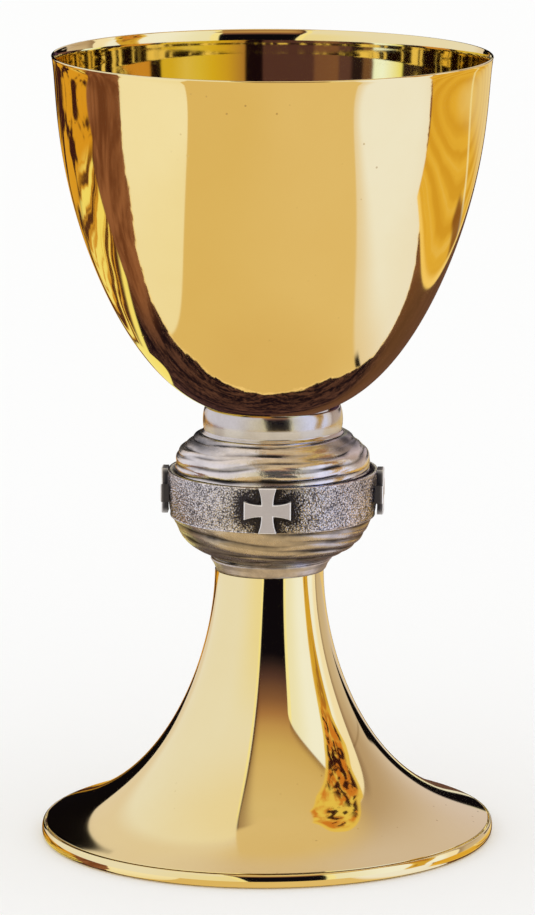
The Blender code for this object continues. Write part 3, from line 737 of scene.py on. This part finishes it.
def dome_piece(name, meridian, tail, count, start, twist, amp, seed, material, node,
               fade=(0.04, 0.04), shoulder=0.0):
    line = resample(meridian, 0.11)
    s = arc_length(line)
    full = np.concatenate([line, np.array(tail, float)])
    n = len(line)
    d = np.gradient(line, axis=0)
    d /= np.linalg.norm(d, axis=1)[:, None]

    def relief(phi):
        h = dome_height(phi, s[None, :], count, start, twist, amp, seed)
        ease = np.clip(s / fade[0], 0, 1) * np.clip((1 - s) / fade[1], 0, 1)
        return h * ease[None, :]

    segments = 640
    phi = np.linspace(0.0, TAU, segments, endpoint=False)[:, None]
    h = relief(phi)
    r = np.broadcast_to(full[:, 0], (segments, len(full))).copy()
    z = np.broadcast_to(full[:, 1], (segments, len(full))).copy()
    r[:, :n] -= d[:, 1] * h
    z[:, :n] += d[:, 0] * h
    points = np.stack([r * np.sin(phi), -r * np.cos(phi), z], 2)
    dark = np.zeros((segments, len(full)), np.float32)
    blotch = ring_noise(phi, s[None, :], seed + 7, 14, 3.0, 16)
    hollow = np.clip((-h / amp + 0.02) * 2.8, 0, 1)
    # painted shade: darker at the left and right sides, as seen from the front, on the shoulders by the
    # collar
    side = np.clip(np.abs(np.sin(phi)) * 2.8 - 1.45, 0, 1)
    painted_side_shade = side * np.clip((shoulder - s[None, :]) * 5.0, 0, 1) * (0.8 + 0.35 * blotch)
    dark[:, :n] = np.clip(np.maximum(hollow * (0.85 + 0.5 * blotch), painted_side_shade), 0, 1)
    dark[:, n:] = 1.0
    return off_axis(grid_piece(name, points, True, material, STEM, [node], "silver_cast",
                               sharp=0, attribute=("oxide_and_shade", dark)), KNOP_SHIFT)


upper_meridian = bezier([(16.8, 95.95), (20.6, 95.3), (18.3, 91.2), (24.5, 94.2),
                         (22.7, 89.7), (23.1, 86.85)], 300)
dome_piece("knop_dome_upper", upper_meridian,
           [(21.4, 86.9), (21.2, 89.3), (19.8, 91.8), (16.4, 94.4), (12.3, 94.7),
            (12.3, 95.75)],
           5.0, 0.10, 3, 0.56, 11, silver_cast_up, "knop_upper_shell", shoulder=0.48)

lower_meridian = bezier([(24.1, 76.45), (22.8, 74.6), (21.0, 67.7), (18.7, 68.6),
                         (12.2, 66.5), (14.2, 65.95)], 300)
dome_piece("knop_dome_lower", lower_meridian,
           [(8.0, 66.15), (8.0, 67.5), (14.6, 67.9), (19.8, 70.6), (22.2, 76.3)],
           5.0, 0.0, -2, 0.60, 29, silver_cast_low, "knop_lower_shell")


# ------------------------------------------------------------------ crosses
SPAN_X, SPAN_Z, NECK, ARM_END = 11.0, 10.7, 2.8, 4.3
FACE_R, CROSS_Z, CROSS_TURN = 26.4, 81.95, math.radians(-2.8)


def cross_outline(steps=14, shrink=0.0):
    """Outline of a flared cross, anticlockwise; shrink pulls every side inwards."""
    pts = []
    reach = (SPAN_X / 2 - shrink, SPAN_Z / 2 - shrink)
    for arm in range(4):
        start = NECK / 2 - shrink
        side = []
        for i in range(steps + 1):
            u = i / steps
            half = NECK / 2 + (ARM_END - NECK) / 2 * u ** 2.1 - shrink
            side.append((start + (reach[arm % 2] - start) * u, half))
        c, s = round(math.cos(arm * math.pi / 2)), round(math.sin(arm * math.pi / 2))
        for x, y in [(d, -h) for d, h in side[1:]] + [(d, h) for d, h in side[::-1]]:
            pts.append((x * c - y * s, x * s + y * c))
    return np.array(pts)


def cross_distance(x, y):
    """Rough distance in mm outside the cross outline, on the unrolled band."""
    ax, ay = np.abs(x), np.abs(y)
    half_x = NECK / 2 + (ARM_END - NECK) / 2 * np.clip(ax / (SPAN_X / 2), 0, 1) ** 2.1
    half_y = NECK / 2 + (ARM_END - NECK) / 2 * np.clip(ay / (SPAN_Z / 2), 0, 1) ** 2.1
    d1 = np.hypot(np.maximum(ax - SPAN_X / 2, 0), np.maximum(ay - half_x, 0))
    d2 = np.hypot(np.maximum(ay - SPAN_Z / 2, 0), np.maximum(ax - half_y, 0))
    return np.minimum(d1, d2)


def cross_piece(name, node, angle):
    """A thick flared plate: chamfered face, sides down to the band, hollow back."""
    bm = bmesh.new()
    n = len(cross_outline())
    rings = []
    for depth, shrink in ((FACE_R, 0.24), (FACE_R - 0.10, 0.09), (FACE_R - 0.26, 0.0),
                          (FACE_R - 0.9, 0.0), (None, 0.0)):
        ring = []
        for x, z in cross_outline(shrink=shrink):
            y = depth if depth is not None else math.sqrt(25.0 ** 2 - x * x) - 0.1
            ring.append(bm.verts.new((x * MM, -y * MM, (CROSS_Z + z) * MM)))
        rings.append(ring)
    for a, b in zip(rings, rings[1:]):
        for i in range(n):
            j = (i + 1) % n
            bm.faces.new((a[i], b[i], b[j], a[j]))
    front = bm.faces.new(rings[0])
    back = bm.faces.new(rings[-1][::-1])
    bmesh.ops.recalc_face_normals(bm, faces=bm.faces)
    front.material_index = 1
    bmesh.ops.triangulate(bm, faces=[front, back])
    bmesh.ops.rotate(bm, verts=bm.verts, cent=(0, 0, 0),
                     matrix=Matrix.Rotation(angle, 3, "Z"))
    mesh = bpy.data.meshes.new(name)
    bm.to_mesh(mesh)
    bm.free()
    mesh.shade_smooth()
    mesh.set_sharp_from_angle(angle=math.radians(28))
    # painted shade: the sides below the chamfer are dark
    data = mesh.attributes.new("oxide_and_shade", "FLOAT", "POINT")
    data.data.foreach_set("value", [1.0 if i >= 3 * n else 0.7 if i >= 2 * n else 0.0
                                    for i in range(len(mesh.vertices))])
    # the face itself is dead flat
    for face in mesh.polygons:
        face.use_smooth = face.material_index == 0
        face.material_index = 0
    obj = bpy.data.objects.new(name, mesh)
    scene.collection.objects.link(obj)
    return off_axis(dress(obj, silver_cross, STEM, [node]), KNOP_SHIFT)


for index, side in enumerate(("front", "right", "back", "left")):
    cross_piece("cross_plate_" + side, "cross_" + side, CROSS_TURN + index * TAU / 4)


# ------------------------------------------------------------------ grained band
def band_piece():
    top_z, low_z = 87.05, 76.2
    skin = bezier([(24.85, top_z - 0.35), (25.35, (top_z + low_z) / 2 + 1.0),
                   (24.15, low_z + 0.25)], 92)
    # fine raised line along both edges
    upper_edge = np.array([(23.2, top_z - 0.55), (23.6, top_z - 0.12), (24.2, top_z + 0.0),
                           (24.62, top_z + 0.02), (24.85, top_z - 0.06),
                           (24.93, top_z - 0.2)])
    lower_edge = np.array([(24.32, low_z + 0.16), (24.30, low_z + 0.02),
                           (24.1, low_z - 0.05), (23.6, low_z - 0.02)])
    tail = np.array([(20.6, low_z + 0.15), (20.6, low_z + 1.2), (22.3, low_z + 1.3),
                     (22.3, top_z - 1.4), (20.6, top_z - 1.3), (20.6, top_z - 0.55)])
    profile = np.concatenate([upper_edge, skin, lower_edge, tail])
    segments = 1180
    phi = np.linspace(0.0, TAU, segments, endpoint=False)[:, None]
    r = np.broadcast_to(profile[:, 0], (segments, len(profile))).copy()
    z = np.broadcast_to(profile[:, 1], (segments, len(profile))).copy()
    i0, i1 = len(upper_edge), len(upper_edge) + len(skin)
    zz = skin[:, 1]
    # struck grain: close-packed rounded dots of uneven size
    rr = 25.0
    grain = np.zeros((segments, len(zz)))
    px = (rr * np.sin(phi[:, 0]), -rr * np.cos(phi[:, 0]))
    for i in range(segments):
        for j, level in enumerate(zz):
            dist, _ = noise.voronoi(Vector((px[0][i] * 1.9, px[1][i] * 1.9, level * 1.9)))
            grain[i, j] = min(dist[1] - dist[0], 0.5)
    ease = np.clip((zz[0] - zz) / 0.5, 0, 1) * np.clip((zz - zz[-1]) / 0.5, 0, 1)
    swell = ring_noise(phi, (zz[None, :] - low_z) / 11.0, 71, 22, 2.5, 24)
    r[:, i0:i1] += (grain * 0.30 - 0.07 + 0.03 * swell) * ease[None, :]
    oxide_and_shade = np.zeros((segments, len(profile)), np.float32)
    halo = np.full((segments, len(zz)), 99.0)
    for k in range(4):
        centre = CROSS_TURN + k * TAU / 4
        off = (phi - centre + math.pi) % TAU - math.pi
        halo = np.minimum(halo, cross_distance(off * rr, zz[None, :] - CROSS_Z))
    ragged = 0.5 * ring_noise(phi, (zz[None, :] - low_z) / 11.0, 83, 30, 3.0, 30)
    near = np.clip(1.2 - halo / (2.9 + 0.6 * ragged), 0, 1) ** 1.4
    pits = np.clip(0.20 - grain, 0, 1) / 0.20
    oxide_and_shade[:, i0:i1] = np.clip(near * 0.98 + pits * 0.45, 0, 1)
    oxide_and_shade[:, i1 + 4:] = 1.0
    oxide_and_shade[:, :2] = 0.8
    points = np.stack([r * np.sin(phi), -r * np.cos(phi), z], 2)
    return off_axis(grid_piece("knop_band_grained", points, True, silver_grain, STEM,
                               ["knop_band"], "silver_grained", sharp=0,
                               attribute=("oxide_and_shade", oxide_and_shade)), KNOP_SHIFT)


band_piece()

# ------------------------------------------------------------------ foot
FOOT_CURVE = [(12.9, 63.15), (13.0, 43.8), (21.0, 18.9), (34.1, 9.5), (44.7, 6.2),
              (52.45, 3.25)]
skin = resample(bezier(FOOT_CURVE, 900), 0.5)
under = side_of(skin, 1.0)
under[0] = (12.0, 63.1)
edge = bezier([skin[-1], (52.55, 3.1), (52.4, 2.75), (52.15, 2.35)], 6)
foot_profile = np.concatenate([[(12.35, 63.22)], skin, edge[1:], under[-2::-1]])
turned("foot_shell", foot_profile, 384, gold_foot, STEM, ["foot"], "gilt", sharp=50)

ring = np.concatenate([
    bezier([(52.75, 2.85), (52.85, 3.1), (53.2, 3.1), (53.35, 2.7)], 8),
    bezier([(53.35, 2.7), (53.62, 2.0), (53.62, 0.8), (53.3, 0.25)], 12)[1:],
    bezier([(53.3, 0.25), (53.2, 0.05), (53.0, 0.0), (52.8, 0.0)], 6)[1:],
    rounded([(50.6, 0.0), (50.6, 1.9), (52.5, 1.9), (52.7, 2.1)], 0.2, closed=False)])
turned("foot_edge_ring", ring, 384, gold_ring, STEM, ["foot_rim_ring"], "gilt", sharp=50)


# ------------------------------------------------------------------ surroundings
def ramp(tree, value, stops):
    """A colour ramp; stops are (position, colour), positions 0 to 1."""
    node = tree.nodes.new("ShaderNodeValToRGB")
    tree.links.new(value.out, node.inputs[0])
    elements = node.color_ramp.elements
    while len(elements) < len(stops):
        elements.new(0.5)
    for element, (position, colour) in zip(elements, stops):
        element.position = position
        element.color = (*colour, 1.0)
    return Sock(tree, node.outputs[0])


def build_world():
    """Soft studio: big pale panels at both sides, a dark gap behind the camera, a tan
    bench, and a plain pale backdrop where the camera looks straight at it."""
    world = bpy.data.worlds.new("soft_studio")
    scene.world = world
    world.use_nodes = True
    tree = world.node_tree
    background = tree.nodes["Background"]
    coords = tree.nodes.new("ShaderNodeTexCoord")
    direction = Sock(tree, coords.outputs["Generated"])
    x, y, z = split(tree, direction)
    az = x.atan2(-y) * (180.0 / math.pi)
    el = z.asin() * (180.0 / math.pi)

    # ---- above the horizon: a tan ceiling that falls off to black behind the camera
    air = ramp(tree, el * (1.0 / 90.0), [
        (0.205, (0.0045, 0.0035, 0.008)), (0.225, (0.024, 0.015, 0.022)),
        (0.262, (0.090, 0.045, 0.050)), (0.289, (0.150, 0.075, 0.062)),
        (0.333, (0.235, 0.116, 0.077)), (0.389, (0.391, 0.206, 0.109)),
        (0.444, (0.529, 0.338, 0.167)), (0.533, (0.629, 0.464, 0.233)),
        (0.644, (0.678, 0.522, 0.305)), (0.889, (0.705, 0.571, 0.375))])
    rear = az.abs()
    air = colour_mix(tree, rear.step(60.0, 150.0) * el.step(40.0, 60.0) * 0.6, air,
                     (0.735, 0.59, 0.41))
    # pale wall far behind the chalice, seen only along the rims
    wall_right = az.step(104.0, 110.0) * el.step(64.0, 46.0)
    wall = colour_mix(tree, az.step(122.0, 168.0), (0.49, 0.375, 0.33),
                      (0.67, 0.59, 0.68))
    wall = colour_mix(tree, el.step(20.0, 0.0) * 0.5, wall, (0.72, 0.64, 0.60))
    air = colour_mix(tree, wall_right, air, wall)
    wall_left = az.step(-148.0, -156.0) * el.step(64.0, 46.0)
    wall = colour_mix(tree, el.step(20.0, 0.0) * 0.5, (0.67, 0.59, 0.68),
                      (0.72, 0.64, 0.60))
    air = colour_mix(tree, wall_left, air, wall)
    seam = (el + (az - 115.0) * 0.72 - 26.0).abs()
    air = colour_mix(tree, seam.step(0.7, 0.2) * az.step(113.0, 116.0)
                     * az.step(144.0, 138.0) * 0.45, air, (0.22, 0.14, 0.08))

    # left panel: a tall sheet with a nearly upright edge, a bright strip along it and
    # its shadow outside
    edge_left = (y * 0.1994 - x * 0.9799) * 5.15 - z
    shadow = edge_left.step(-0.85, 0.0) * az.step(-152.0, -135.0) * az.step(40.0, -4.0)
    air = colour_mix(tree, shadow * shadow * el.step(22.0, 34.0) * 0.62, air,
                     (0.16, 0.07, 0.045))
    flat = (1.0 - z * z).max(0.001).sqrt()
    near_edge = edge_left / flat
    line = near_edge.step(-0.34, -0.08) * az.step(-150.0, -128.0) * el.step(20.0, 26.0)
    air = colour_mix(tree, line * 0.85, air, (0.05, 0.015, 0.02))
    panel = colour_mix(tree, el.step(30.0, 78.0), (0.845, 0.865, 1.03),
                       (0.845, 0.79, 0.73))
    panel = colour_mix(tree, az.step(-70.0, -16.0) * el.step(48.0, 10.0) * 0.85, panel,
                       (0.86, 0.81, 0.60))
    pinkish = (az + el * 0.24).step(-134.0, -147.0)
    panel = colour_mix(tree, pinkish, panel, (0.78, 0.71, 0.70))
    strip = near_edge.step(0.03, 0.10) * near_edge.step(0.40, 0.26) * az.step(-140.0, -90.0)
    panel = colour_mix(tree, strip * 0.8, panel, (0.98, 0.94, 0.56))
    left = edge_left.step(-0.03, 0.03) * az.step(-177.0, -158.0)
    air = colour_mix(tree, left, air, panel)
    # dark edge far behind on the left
    bulge = (el - 4.0).abs().step(15.0, 0.0)
    dark_left = (az - bulge * 9.0).step(-160.4, -161.0) * el.step(39.0, 38.0)
    air = colour_mix(tree, dark_left, air, (0.004, 0.003, 0.004))

    # right panel with a slanting top edge, a bright strip and a shadow line
    lift_up = el - (az - 30.0).max(0.0)._math("POWER", 0.55) * 1.66 - 34.2
    right = az.step(29.0, 30.3) * lift_up.step(0.6, -0.6) * (
        az - el * 0.12).step(113.6, 112.4)
    edge_shade = lift_up.step(7.0, 0.0) * az.step(29.0, 33.0) * az.step(84.0, 74.0)
    air = colour_mix(tree, edge_shade * edge_shade * 0.6, air, (0.16, 0.07, 0.045))
    side_shade = (az - el * 0.12).step(121.0, 113.5) * az.step(104.0, 108.0) * el.step(
        50.0, 38.0)
    air = colour_mix(tree, side_shade * 0.5, air, (0.18, 0.10, 0.07))
    white = colour_mix(tree, az.step(36.0, 66.0), (0.875, 0.92, 1.02),
                       (0.93, 1.03, 1.45))
    white = colour_mix(tree, az.step(98.0, 106.0), white, (0.93, 0.90, 0.95))
    white = colour_mix(tree, az.step(35.5, 33.5), white, (0.96, 0.94, 0.68))
    air = colour_mix(tree, right, air, white)

    # a gilt ornament standing between them, like a drop on a stalk
    wander = noise_of(tree, direction, 5.0, 3.0, 0.5) * 3.0 - 1.5
    a = az + wander
    drop_left = (a - el.step(-12.0, 8.0) * 4.5 - el.step(64.0, 74.0) * 14.0)
    drop_right = (a - el.step(-12.0, 22.0) * 11.0 - el.step(21.0, 29.0) * 9.0
                  - el.step(36.0, 47.0) * 12.0 - el.step(49.0, 61.0) * 22.0
                  + el.step(64.0, 74.0) * 18.0)
    drop = drop_left.step(73.0, 74.2) * drop_right.step(87.2, 86.0) * el.step(73.6, 72.4)
    inside = drop_left.step(75.5, 78.0) * drop_right.step(84.0, 80.0)
    swirl = noise_of(tree, direction, 4.6, 4.0, 0.55, 1.4)
    swirl2 = noise_of(tree, combine(tree, az * 0.115, el * 0.15, 2.3), 1.0, 3.0, 0.55, 1.3)
    stalk = colour_mix(tree, drop_left.step(77.0, 73.0), (0.66, 0.41, 0.06),
                       (0.84, 0.64, 0.24))
    stalk = colour_mix(tree, swirl.step(0.52, 0.60) * inside * 0.8, stalk,
                       (0.30, 0.12, 0.03))
    head = colour_mix(tree, swirl.step(0.40, 0.56) * inside, (0.80, 0.62, 0.16),
                      (0.62, 0.22, 0.035))
    patch = (((a - 116.0) * 0.0625)._math("POWER", 2.0)
             + ((el - 63.0) * 0.22)._math("POWER", 2.0)).step(1.3, 0.8)
    belly = el.step(23.0, 27.0) * el.step(59.0, 55.0)
    blot = swirl2.step(0.485, 0.53) * inside * belly.max(patch)
    head = colour_mix(tree, blot, head, (0.035, 0.008, 0.009))
    gilded = colour_mix(tree, el.step(18.0, 26.0), stalk, head)
    rim = drop_left.step(77.0, 74.6).max(drop_right.step(81.5, 85.0))
    gilded = colour_mix(tree, rim * el.step(22.0, 30.0), gilded, (0.80, 0.60, 0.17))
    air = colour_mix(tree, drop, air, gilded)
    # dark thing low on the right, behind
    low_right = (el - (az - 160.0).abs().step(8.0, 17.0) * 3.0).step(7.0, 5.6) * el.step(
        -3.0, -2.0) * az.step(142.5, 144.5)
    air = colour_mix(tree, low_right, air, (0.004, 0.003, 0.004))

    # ---- below the horizon: a bench top seen from its own plane
    depth = (-z).max(0.02)
    u = x / depth
    v = y / depth
    ragged = noise_of(tree, combine(tree, u, v, 0.0), 5.0, 8.0, 0.72) - 0.5
    tan = colour_mix(tree, u.step(0.6, -1.0), (0.775, 0.60, 0.335), (0.745, 0.56, 0.27))
    tan = colour_mix(tree, el.step(-50.0, -72.0) * 0.6, tan, (0.70, 0.50, 0.235))
    # painted light and shadow on the bench: pale where lit on both sides, with a tan wedge of shadow in
    # front widening towards the camera
    w = -0.2 - v
    lit_right_bound = u - (w + (w * w + 0.49).sqrt()) * 0.39 - 0.569
    v_left = v - 0.12
    lit_left_bound = -u - (v_left * v_left * 0.85 + 0.8).sqrt() + 0.009
    cream_left = colour_mix(tree, (-u).step(2.6, 1.0), (0.93, 0.91, 0.90),
                            (0.90, 0.85, 0.745))
    cream_right = colour_mix(tree, v.step(-0.4, 0.5), (0.905, 0.97, 1.36),
                             (0.885, 0.915, 1.20))
    bench = colour_mix(tree, lit_left_bound.step(-0.015, 0.015), tan, cream_left)
    share = lit_right_bound.step(-0.02, 0.03) * 0.42 + lit_right_bound.step(0.0, 0.42) * 0.58
    bench = colour_mix(tree, share, bench, cream_right)
    sliver = (lit_right_bound - 0.02).abs().step(0.03, 0.015) * v.step(0.22, 0.40)
    bench = colour_mix(tree, sliver, bench, (0.01, 0.006, 0.006))
    # dark wood with fur-like grain behind, its near edge ragged
    turn = (az.abs() - 180.0).abs()
    grain = noise_of(tree, combine(tree, turn * 0.05 + el * 0.04, el * 0.16 - turn * 0.10,
                                   0.0), 1.0, 5.0, 0.62, 0.5)
    hairs = noise_of(tree, combine(tree, u * 5.0, v * 5.0, 0.0), 2.4, 5.0, 0.66, 2.4)
    wood = colour_mix(tree, (grain * 0.5 + hairs * 0.5).step(0.45, 0.58),
                      (0.010, 0.005, 0.011), (0.105, 0.050, 0.050))
    warm = colour_mix(tree, grain.step(0.38, 0.60), (0.15, 0.052, 0.028),
                      (0.30, 0.125, 0.075))
    near_side = az.abs().step(138.0, 112.0) * el.step(-44.0, -34.0)
    wood = colour_mix(tree, near_side, wood, warm)
    wood = colour_mix(tree, az.step(100.0, 125.0) * el.step(-45.0, -33.0) * 0.7, wood,
                      (0.17, 0.08, 0.045))
    border = (u.step(-0.55, -1.05) * 0.14 - u.step(-1.15, -2.3) * 0.33
              + u.step(0.31, 0.97) * 0.57 - u.step(1.2, 2.0) * 0.36
              - u.step(1.9, 3.2) * 0.22 + (u + 2.6).min(0.0) * 0.08 + 0.215)
    past = v - border + ragged * 0.27
    bench = colour_mix(tree, past.step(-0.040, -0.008) * 0.8, bench, (0.98, 0.76, 0.45))
    bench = colour_mix(tree, past.step(-0.006, 0.006), bench, wood)
    # gilt leaves lying at the back on the left, and a gilt plate on the right
    bow_left = el - (az + 132.0)._math("POWER", 2.0) * 0.008
    drift = noise_of(tree, combine(tree, az * 0.03, el * 0.06, 0.0), 1.0, 3.0, 0.5)
    vein = noise_of(tree, combine(tree, az * 0.004, (bow_left + drift * 9.0) * 0.62, 0.0),
                    1.0, 3.0, 0.55)
    leaf = colour_mix(tree, vein.step(0.44, 0.50), (0.09, 0.03, 0.015),
                      (0.66, 0.33, 0.04))
    leaf = colour_mix(tree, vein.step(0.525, 0.58), leaf, (0.93, 0.82, 0.26))
    plain = el.step(-17.0, -14.5)
    stain = noise_of(tree, combine(tree, az * 0.05, el * 0.22, 0.0), 1.0, 4.0, 0.6, 0.8)
    flat_gold = colour_mix(tree, stain.step(0.50, 0.57), (0.72, 0.36, 0.03),
                           (0.045, 0.012, 0.012))
    leaf = colour_mix(tree, plain, leaf, flat_gold)
    leaf_rim = bow_left.step(-28.5, -30.5)
    leaf = colour_mix(tree, leaf_rim, leaf, (0.95, 0.88, 0.32))
    leaf_here = bow_left.step(-32.2, -31.4) * (
        az + (el + 21.0).abs().step(5.0, 12.0) * 4.0 - 4.0 * plain).step(-117.5, -118.8)
    bench = colour_mix(tree, leaf_here, bench, leaf)
    petal = (((el + (az + 160.0) * 0.7 + 25.5) * 0.30)._math("POWER", 2.0)
             + ((az + 160.0) * 0.095)._math("POWER", 2.0))
    bench = colour_mix(tree, petal.step(1.25, 1.0), bench, (0.95, 0.86, 0.30))
    bow_right = el - (az - 118.0)._math("POWER", 2.0) * 0.008
    streak = noise_of(tree, combine(tree, az * 0.006, (bow_right + drift * 5.0) * 0.5,
                                    3.7), 1.0, 3.0, 0.5)
    plate = colour_mix(tree, streak.step(0.36, 0.66), (0.68, 0.38, 0.040),
                       (0.80, 0.50, 0.075))
    plate = colour_mix(tree, streak.step(0.62, 0.70) * 0.2, plate, (0.92, 0.74, 0.34))
    plate = colour_mix(tree, el.step(-13.5, -9.5) * az.step(112.0, 122.0) * 0.5, plate,
                       (0.85, 0.80, 0.62))
    arcs = (((az - 150.0) * 0.05)._math("POWER", 2.0)
            + ((el + 8.0) * 0.13)._math("POWER", 2.0) - 1.0).abs()
    plate = colour_mix(tree, arcs.step(0.16, 0.05) * 0.75, plate, (0.93, 0.88, 0.66))
    plate = colour_mix(tree, ((el + 17.0 - (az - 150.0) * 0.12).abs() * 0.5).step(
        0.9, 0.35) * az.step(136.0, 141.0) * 0.85, plate, (0.20, 0.06, 0.02))
    plate = colour_mix(tree, bow_right.step(-27.6, -28.8), plate, (0.95, 0.70, 0.26))
    plate_here = bow_right.step(-29.6, -29.2) * az.step(93.5, 94.5)
    bench = colour_mix(tree, plate_here, bench, plate)

    parting = el - (rear - 85.0).max(0.0) * 0.082
    studio = colour_mix(tree, parting.step(-12.4, -11.6), bench, air)

    path = tree.nodes.new("ShaderNodeLightPath")
    seen = Sock(tree, path.outputs["Is Camera Ray"])
    glossy = Sock(tree, path.outputs["Is Glossy Ray"])
    # what the walls of the bowl throw to each other comes back richer and banded
    depth2 = Sock(tree, path.outputs["Glossy Depth"])
    mauve, pitch = (0.089, 0.046, 0.105), (0.009, 0.004, 0.015)
    amber, umber = (0.64, 0.36, 0.105), (0.0235, 0.015, 0.0375)
    bands = [(-180, mauve), (-170, mauve), (-168.5, pitch), (-151, pitch),
             (-149.5, (0.43, 0.27, 0.145)), (-131, (0.64, 0.48, 0.086)),
             (-115, (0.71, 0.59, 0.075)), (-100, (0.74, 0.68, 0.185)),
             (-85, (0.76, 0.70, 0.32)), (-68, (0.71, 0.60, 0.10)),
             (-55, (0.71, 0.60, 0.10)), (-53.5, pitch), (-41.5, pitch), (-40, amber),
             (-2, amber), (0, umber), (30, umber), (32, (0.90, 1.05, 0.70)),
             (56, (0.96, 1.37, 3.5)), (67, (0.96, 1.37, 3.2)),
             (69.5, (0.173, 0.105, 0.13)), (79, (0.173, 0.105, 0.13)), (82, umber),
             (92, umber), (96, (0.11, 0.062, 0.135)), (107, (0.11, 0.062, 0.135)),
             (110, (0.208, 0.116, 0.151)), (134, (0.19, 0.105, 0.15)), (137, mauve)]
    inner = ramp(tree, az * (1.0 / 360.0) + 0.5,
                 [((a + 180.0) / 360.0, c) for a, c in bands])
    studio = colour_mix(tree, depth2.step(1.4, 1.6), studio, inner)
    stripe = noise_of(tree, combine(tree, az * 0.085, 0.0, 4.4), 1.0, 2.0, 0.5)
    deep = colour_mix(tree, stripe.step(0.49, 0.53), pitch, (0.95, 1.0, 1.1))
    studio = colour_mix(tree, depth2.step(2.4, 2.6), studio, deep)
    soft = (1.06, 1.06, 1.06)
    colour = colour_mix(tree, glossy, soft, studio)
    colour = colour_mix(tree, seen, colour, (0.97, 0.97, 0.965))
    tree.links.new(colour.out, background.inputs["Color"])
    background.inputs["Strength"].default_value = 1.0
    world.cycles.sampling_method = "NONE"


build_world()

for obj in scene.objects:
    if obj.name in ("threaded_rod", "stud_hexagon", "m8_clamp_nut", "core_tube",
                    "plain_washer", "split_spring_washer", "brass_stem_bush",
                    "boss_under_cup", "fibre_seat_washer"):
        obj.visible_glossy = False

# floor: pale, matt, left out of the mirror reflections
floor_mesh = bpy.data.meshes.new("floor")
bm = bmesh.new()
bmesh.ops.create_grid(bm, x_segments=1, y_segments=1, size=30.0)
bm.to_mesh(floor_mesh)
bm.free()
floor = bpy.data.objects.new("floor", floor_mesh)
floor.location.z = -0.0002
scene.collection.objects.link(floor)
mat, tree, bsdf, obj_coords = new_material("floor_pale")
paper = noise_of(tree, obj_coords, 300.0, 4.0)
put(tree, colour_mix(tree, paper * 0.3, (0.93, 0.93, 0.925), (0.915, 0.915, 0.91)),
    bsdf.inputs["Base Color"])
bsdf.inputs["Roughness"].default_value = 1.0
bsdf.inputs["Specular IOR Level"].default_value = 0.0
floor_mesh.materials.append(mat)
floor.visible_glossy = False

# ------------------------------------------------------------------ camera
D, H = 1.35448, 0.34848
YAW, PITCH_DOWN, ROLL = (math.radians(a) for a in (3.1772, 3.3274, 0.5845))
SHIFT = (-0.35648, -0.82372)
forward = Vector((math.sin(YAW) * math.cos(PITCH_DOWN),
                  math.cos(YAW) * math.cos(PITCH_DOWN), -math.sin(PITCH_DOWN)))
right = Vector((math.cos(YAW), -math.sin(YAW), 0.0))
up = right.cross(forward)
right2 = right * math.cos(ROLL) + up * math.sin(ROLL)
up2 = up * math.cos(ROLL) - right * math.sin(ROLL)
cam_data = bpy.data.cameras.new("camera")
cam_data.sensor_width = 36.0
cam_data.lens = 5743.4 * 36.0 / 915.0
cam_data.clip_start, cam_data.clip_end = 0.05, 100.0
camera = bpy.data.objects.new("camera", cam_data)
camera.matrix_world = Matrix((
    (right2.x, up2.x, -forward.x, 0.0),
    (right2.y, up2.y, -forward.y, -D),
    (right2.z, up2.z, -forward.z, H),
    (0.0, 0.0, 0.0, 1.0)))
scene.collection.objects.link(camera)
scene.camera = camera
# the lens is shifted only while the camera stands at its own place
for prop, amount in zip(("shift_x", "shift_y"), SHIFT):
    driver = cam_data.driver_add(prop).driver
    driver.type = "SCRIPTED"
    for axis in ("X", "Y"):
        var = driver.variables.new()
        var.name = "p" + axis.lower()
        var.type = "TRANSFORMS"
        var.targets[0].id = camera
        var.targets[0].transform_type = "LOC_" + axis
        var.targets[0].transform_space = "WORLD_SPACE"
    driver.expression = "%.5f if abs(px) + abs(py + %.5f) < 0.0001 else 0.0" % (amount, D)

scene.view_settings.view_transform = "Standard"
scene.view_settings.look = "None"
if hasattr(scene, "cycles"):
    scene.cycles.max_bounces = 24
    scene.cycles.glossy_bounces = 20
    scene.cycles.transparent_max_bounces = 64
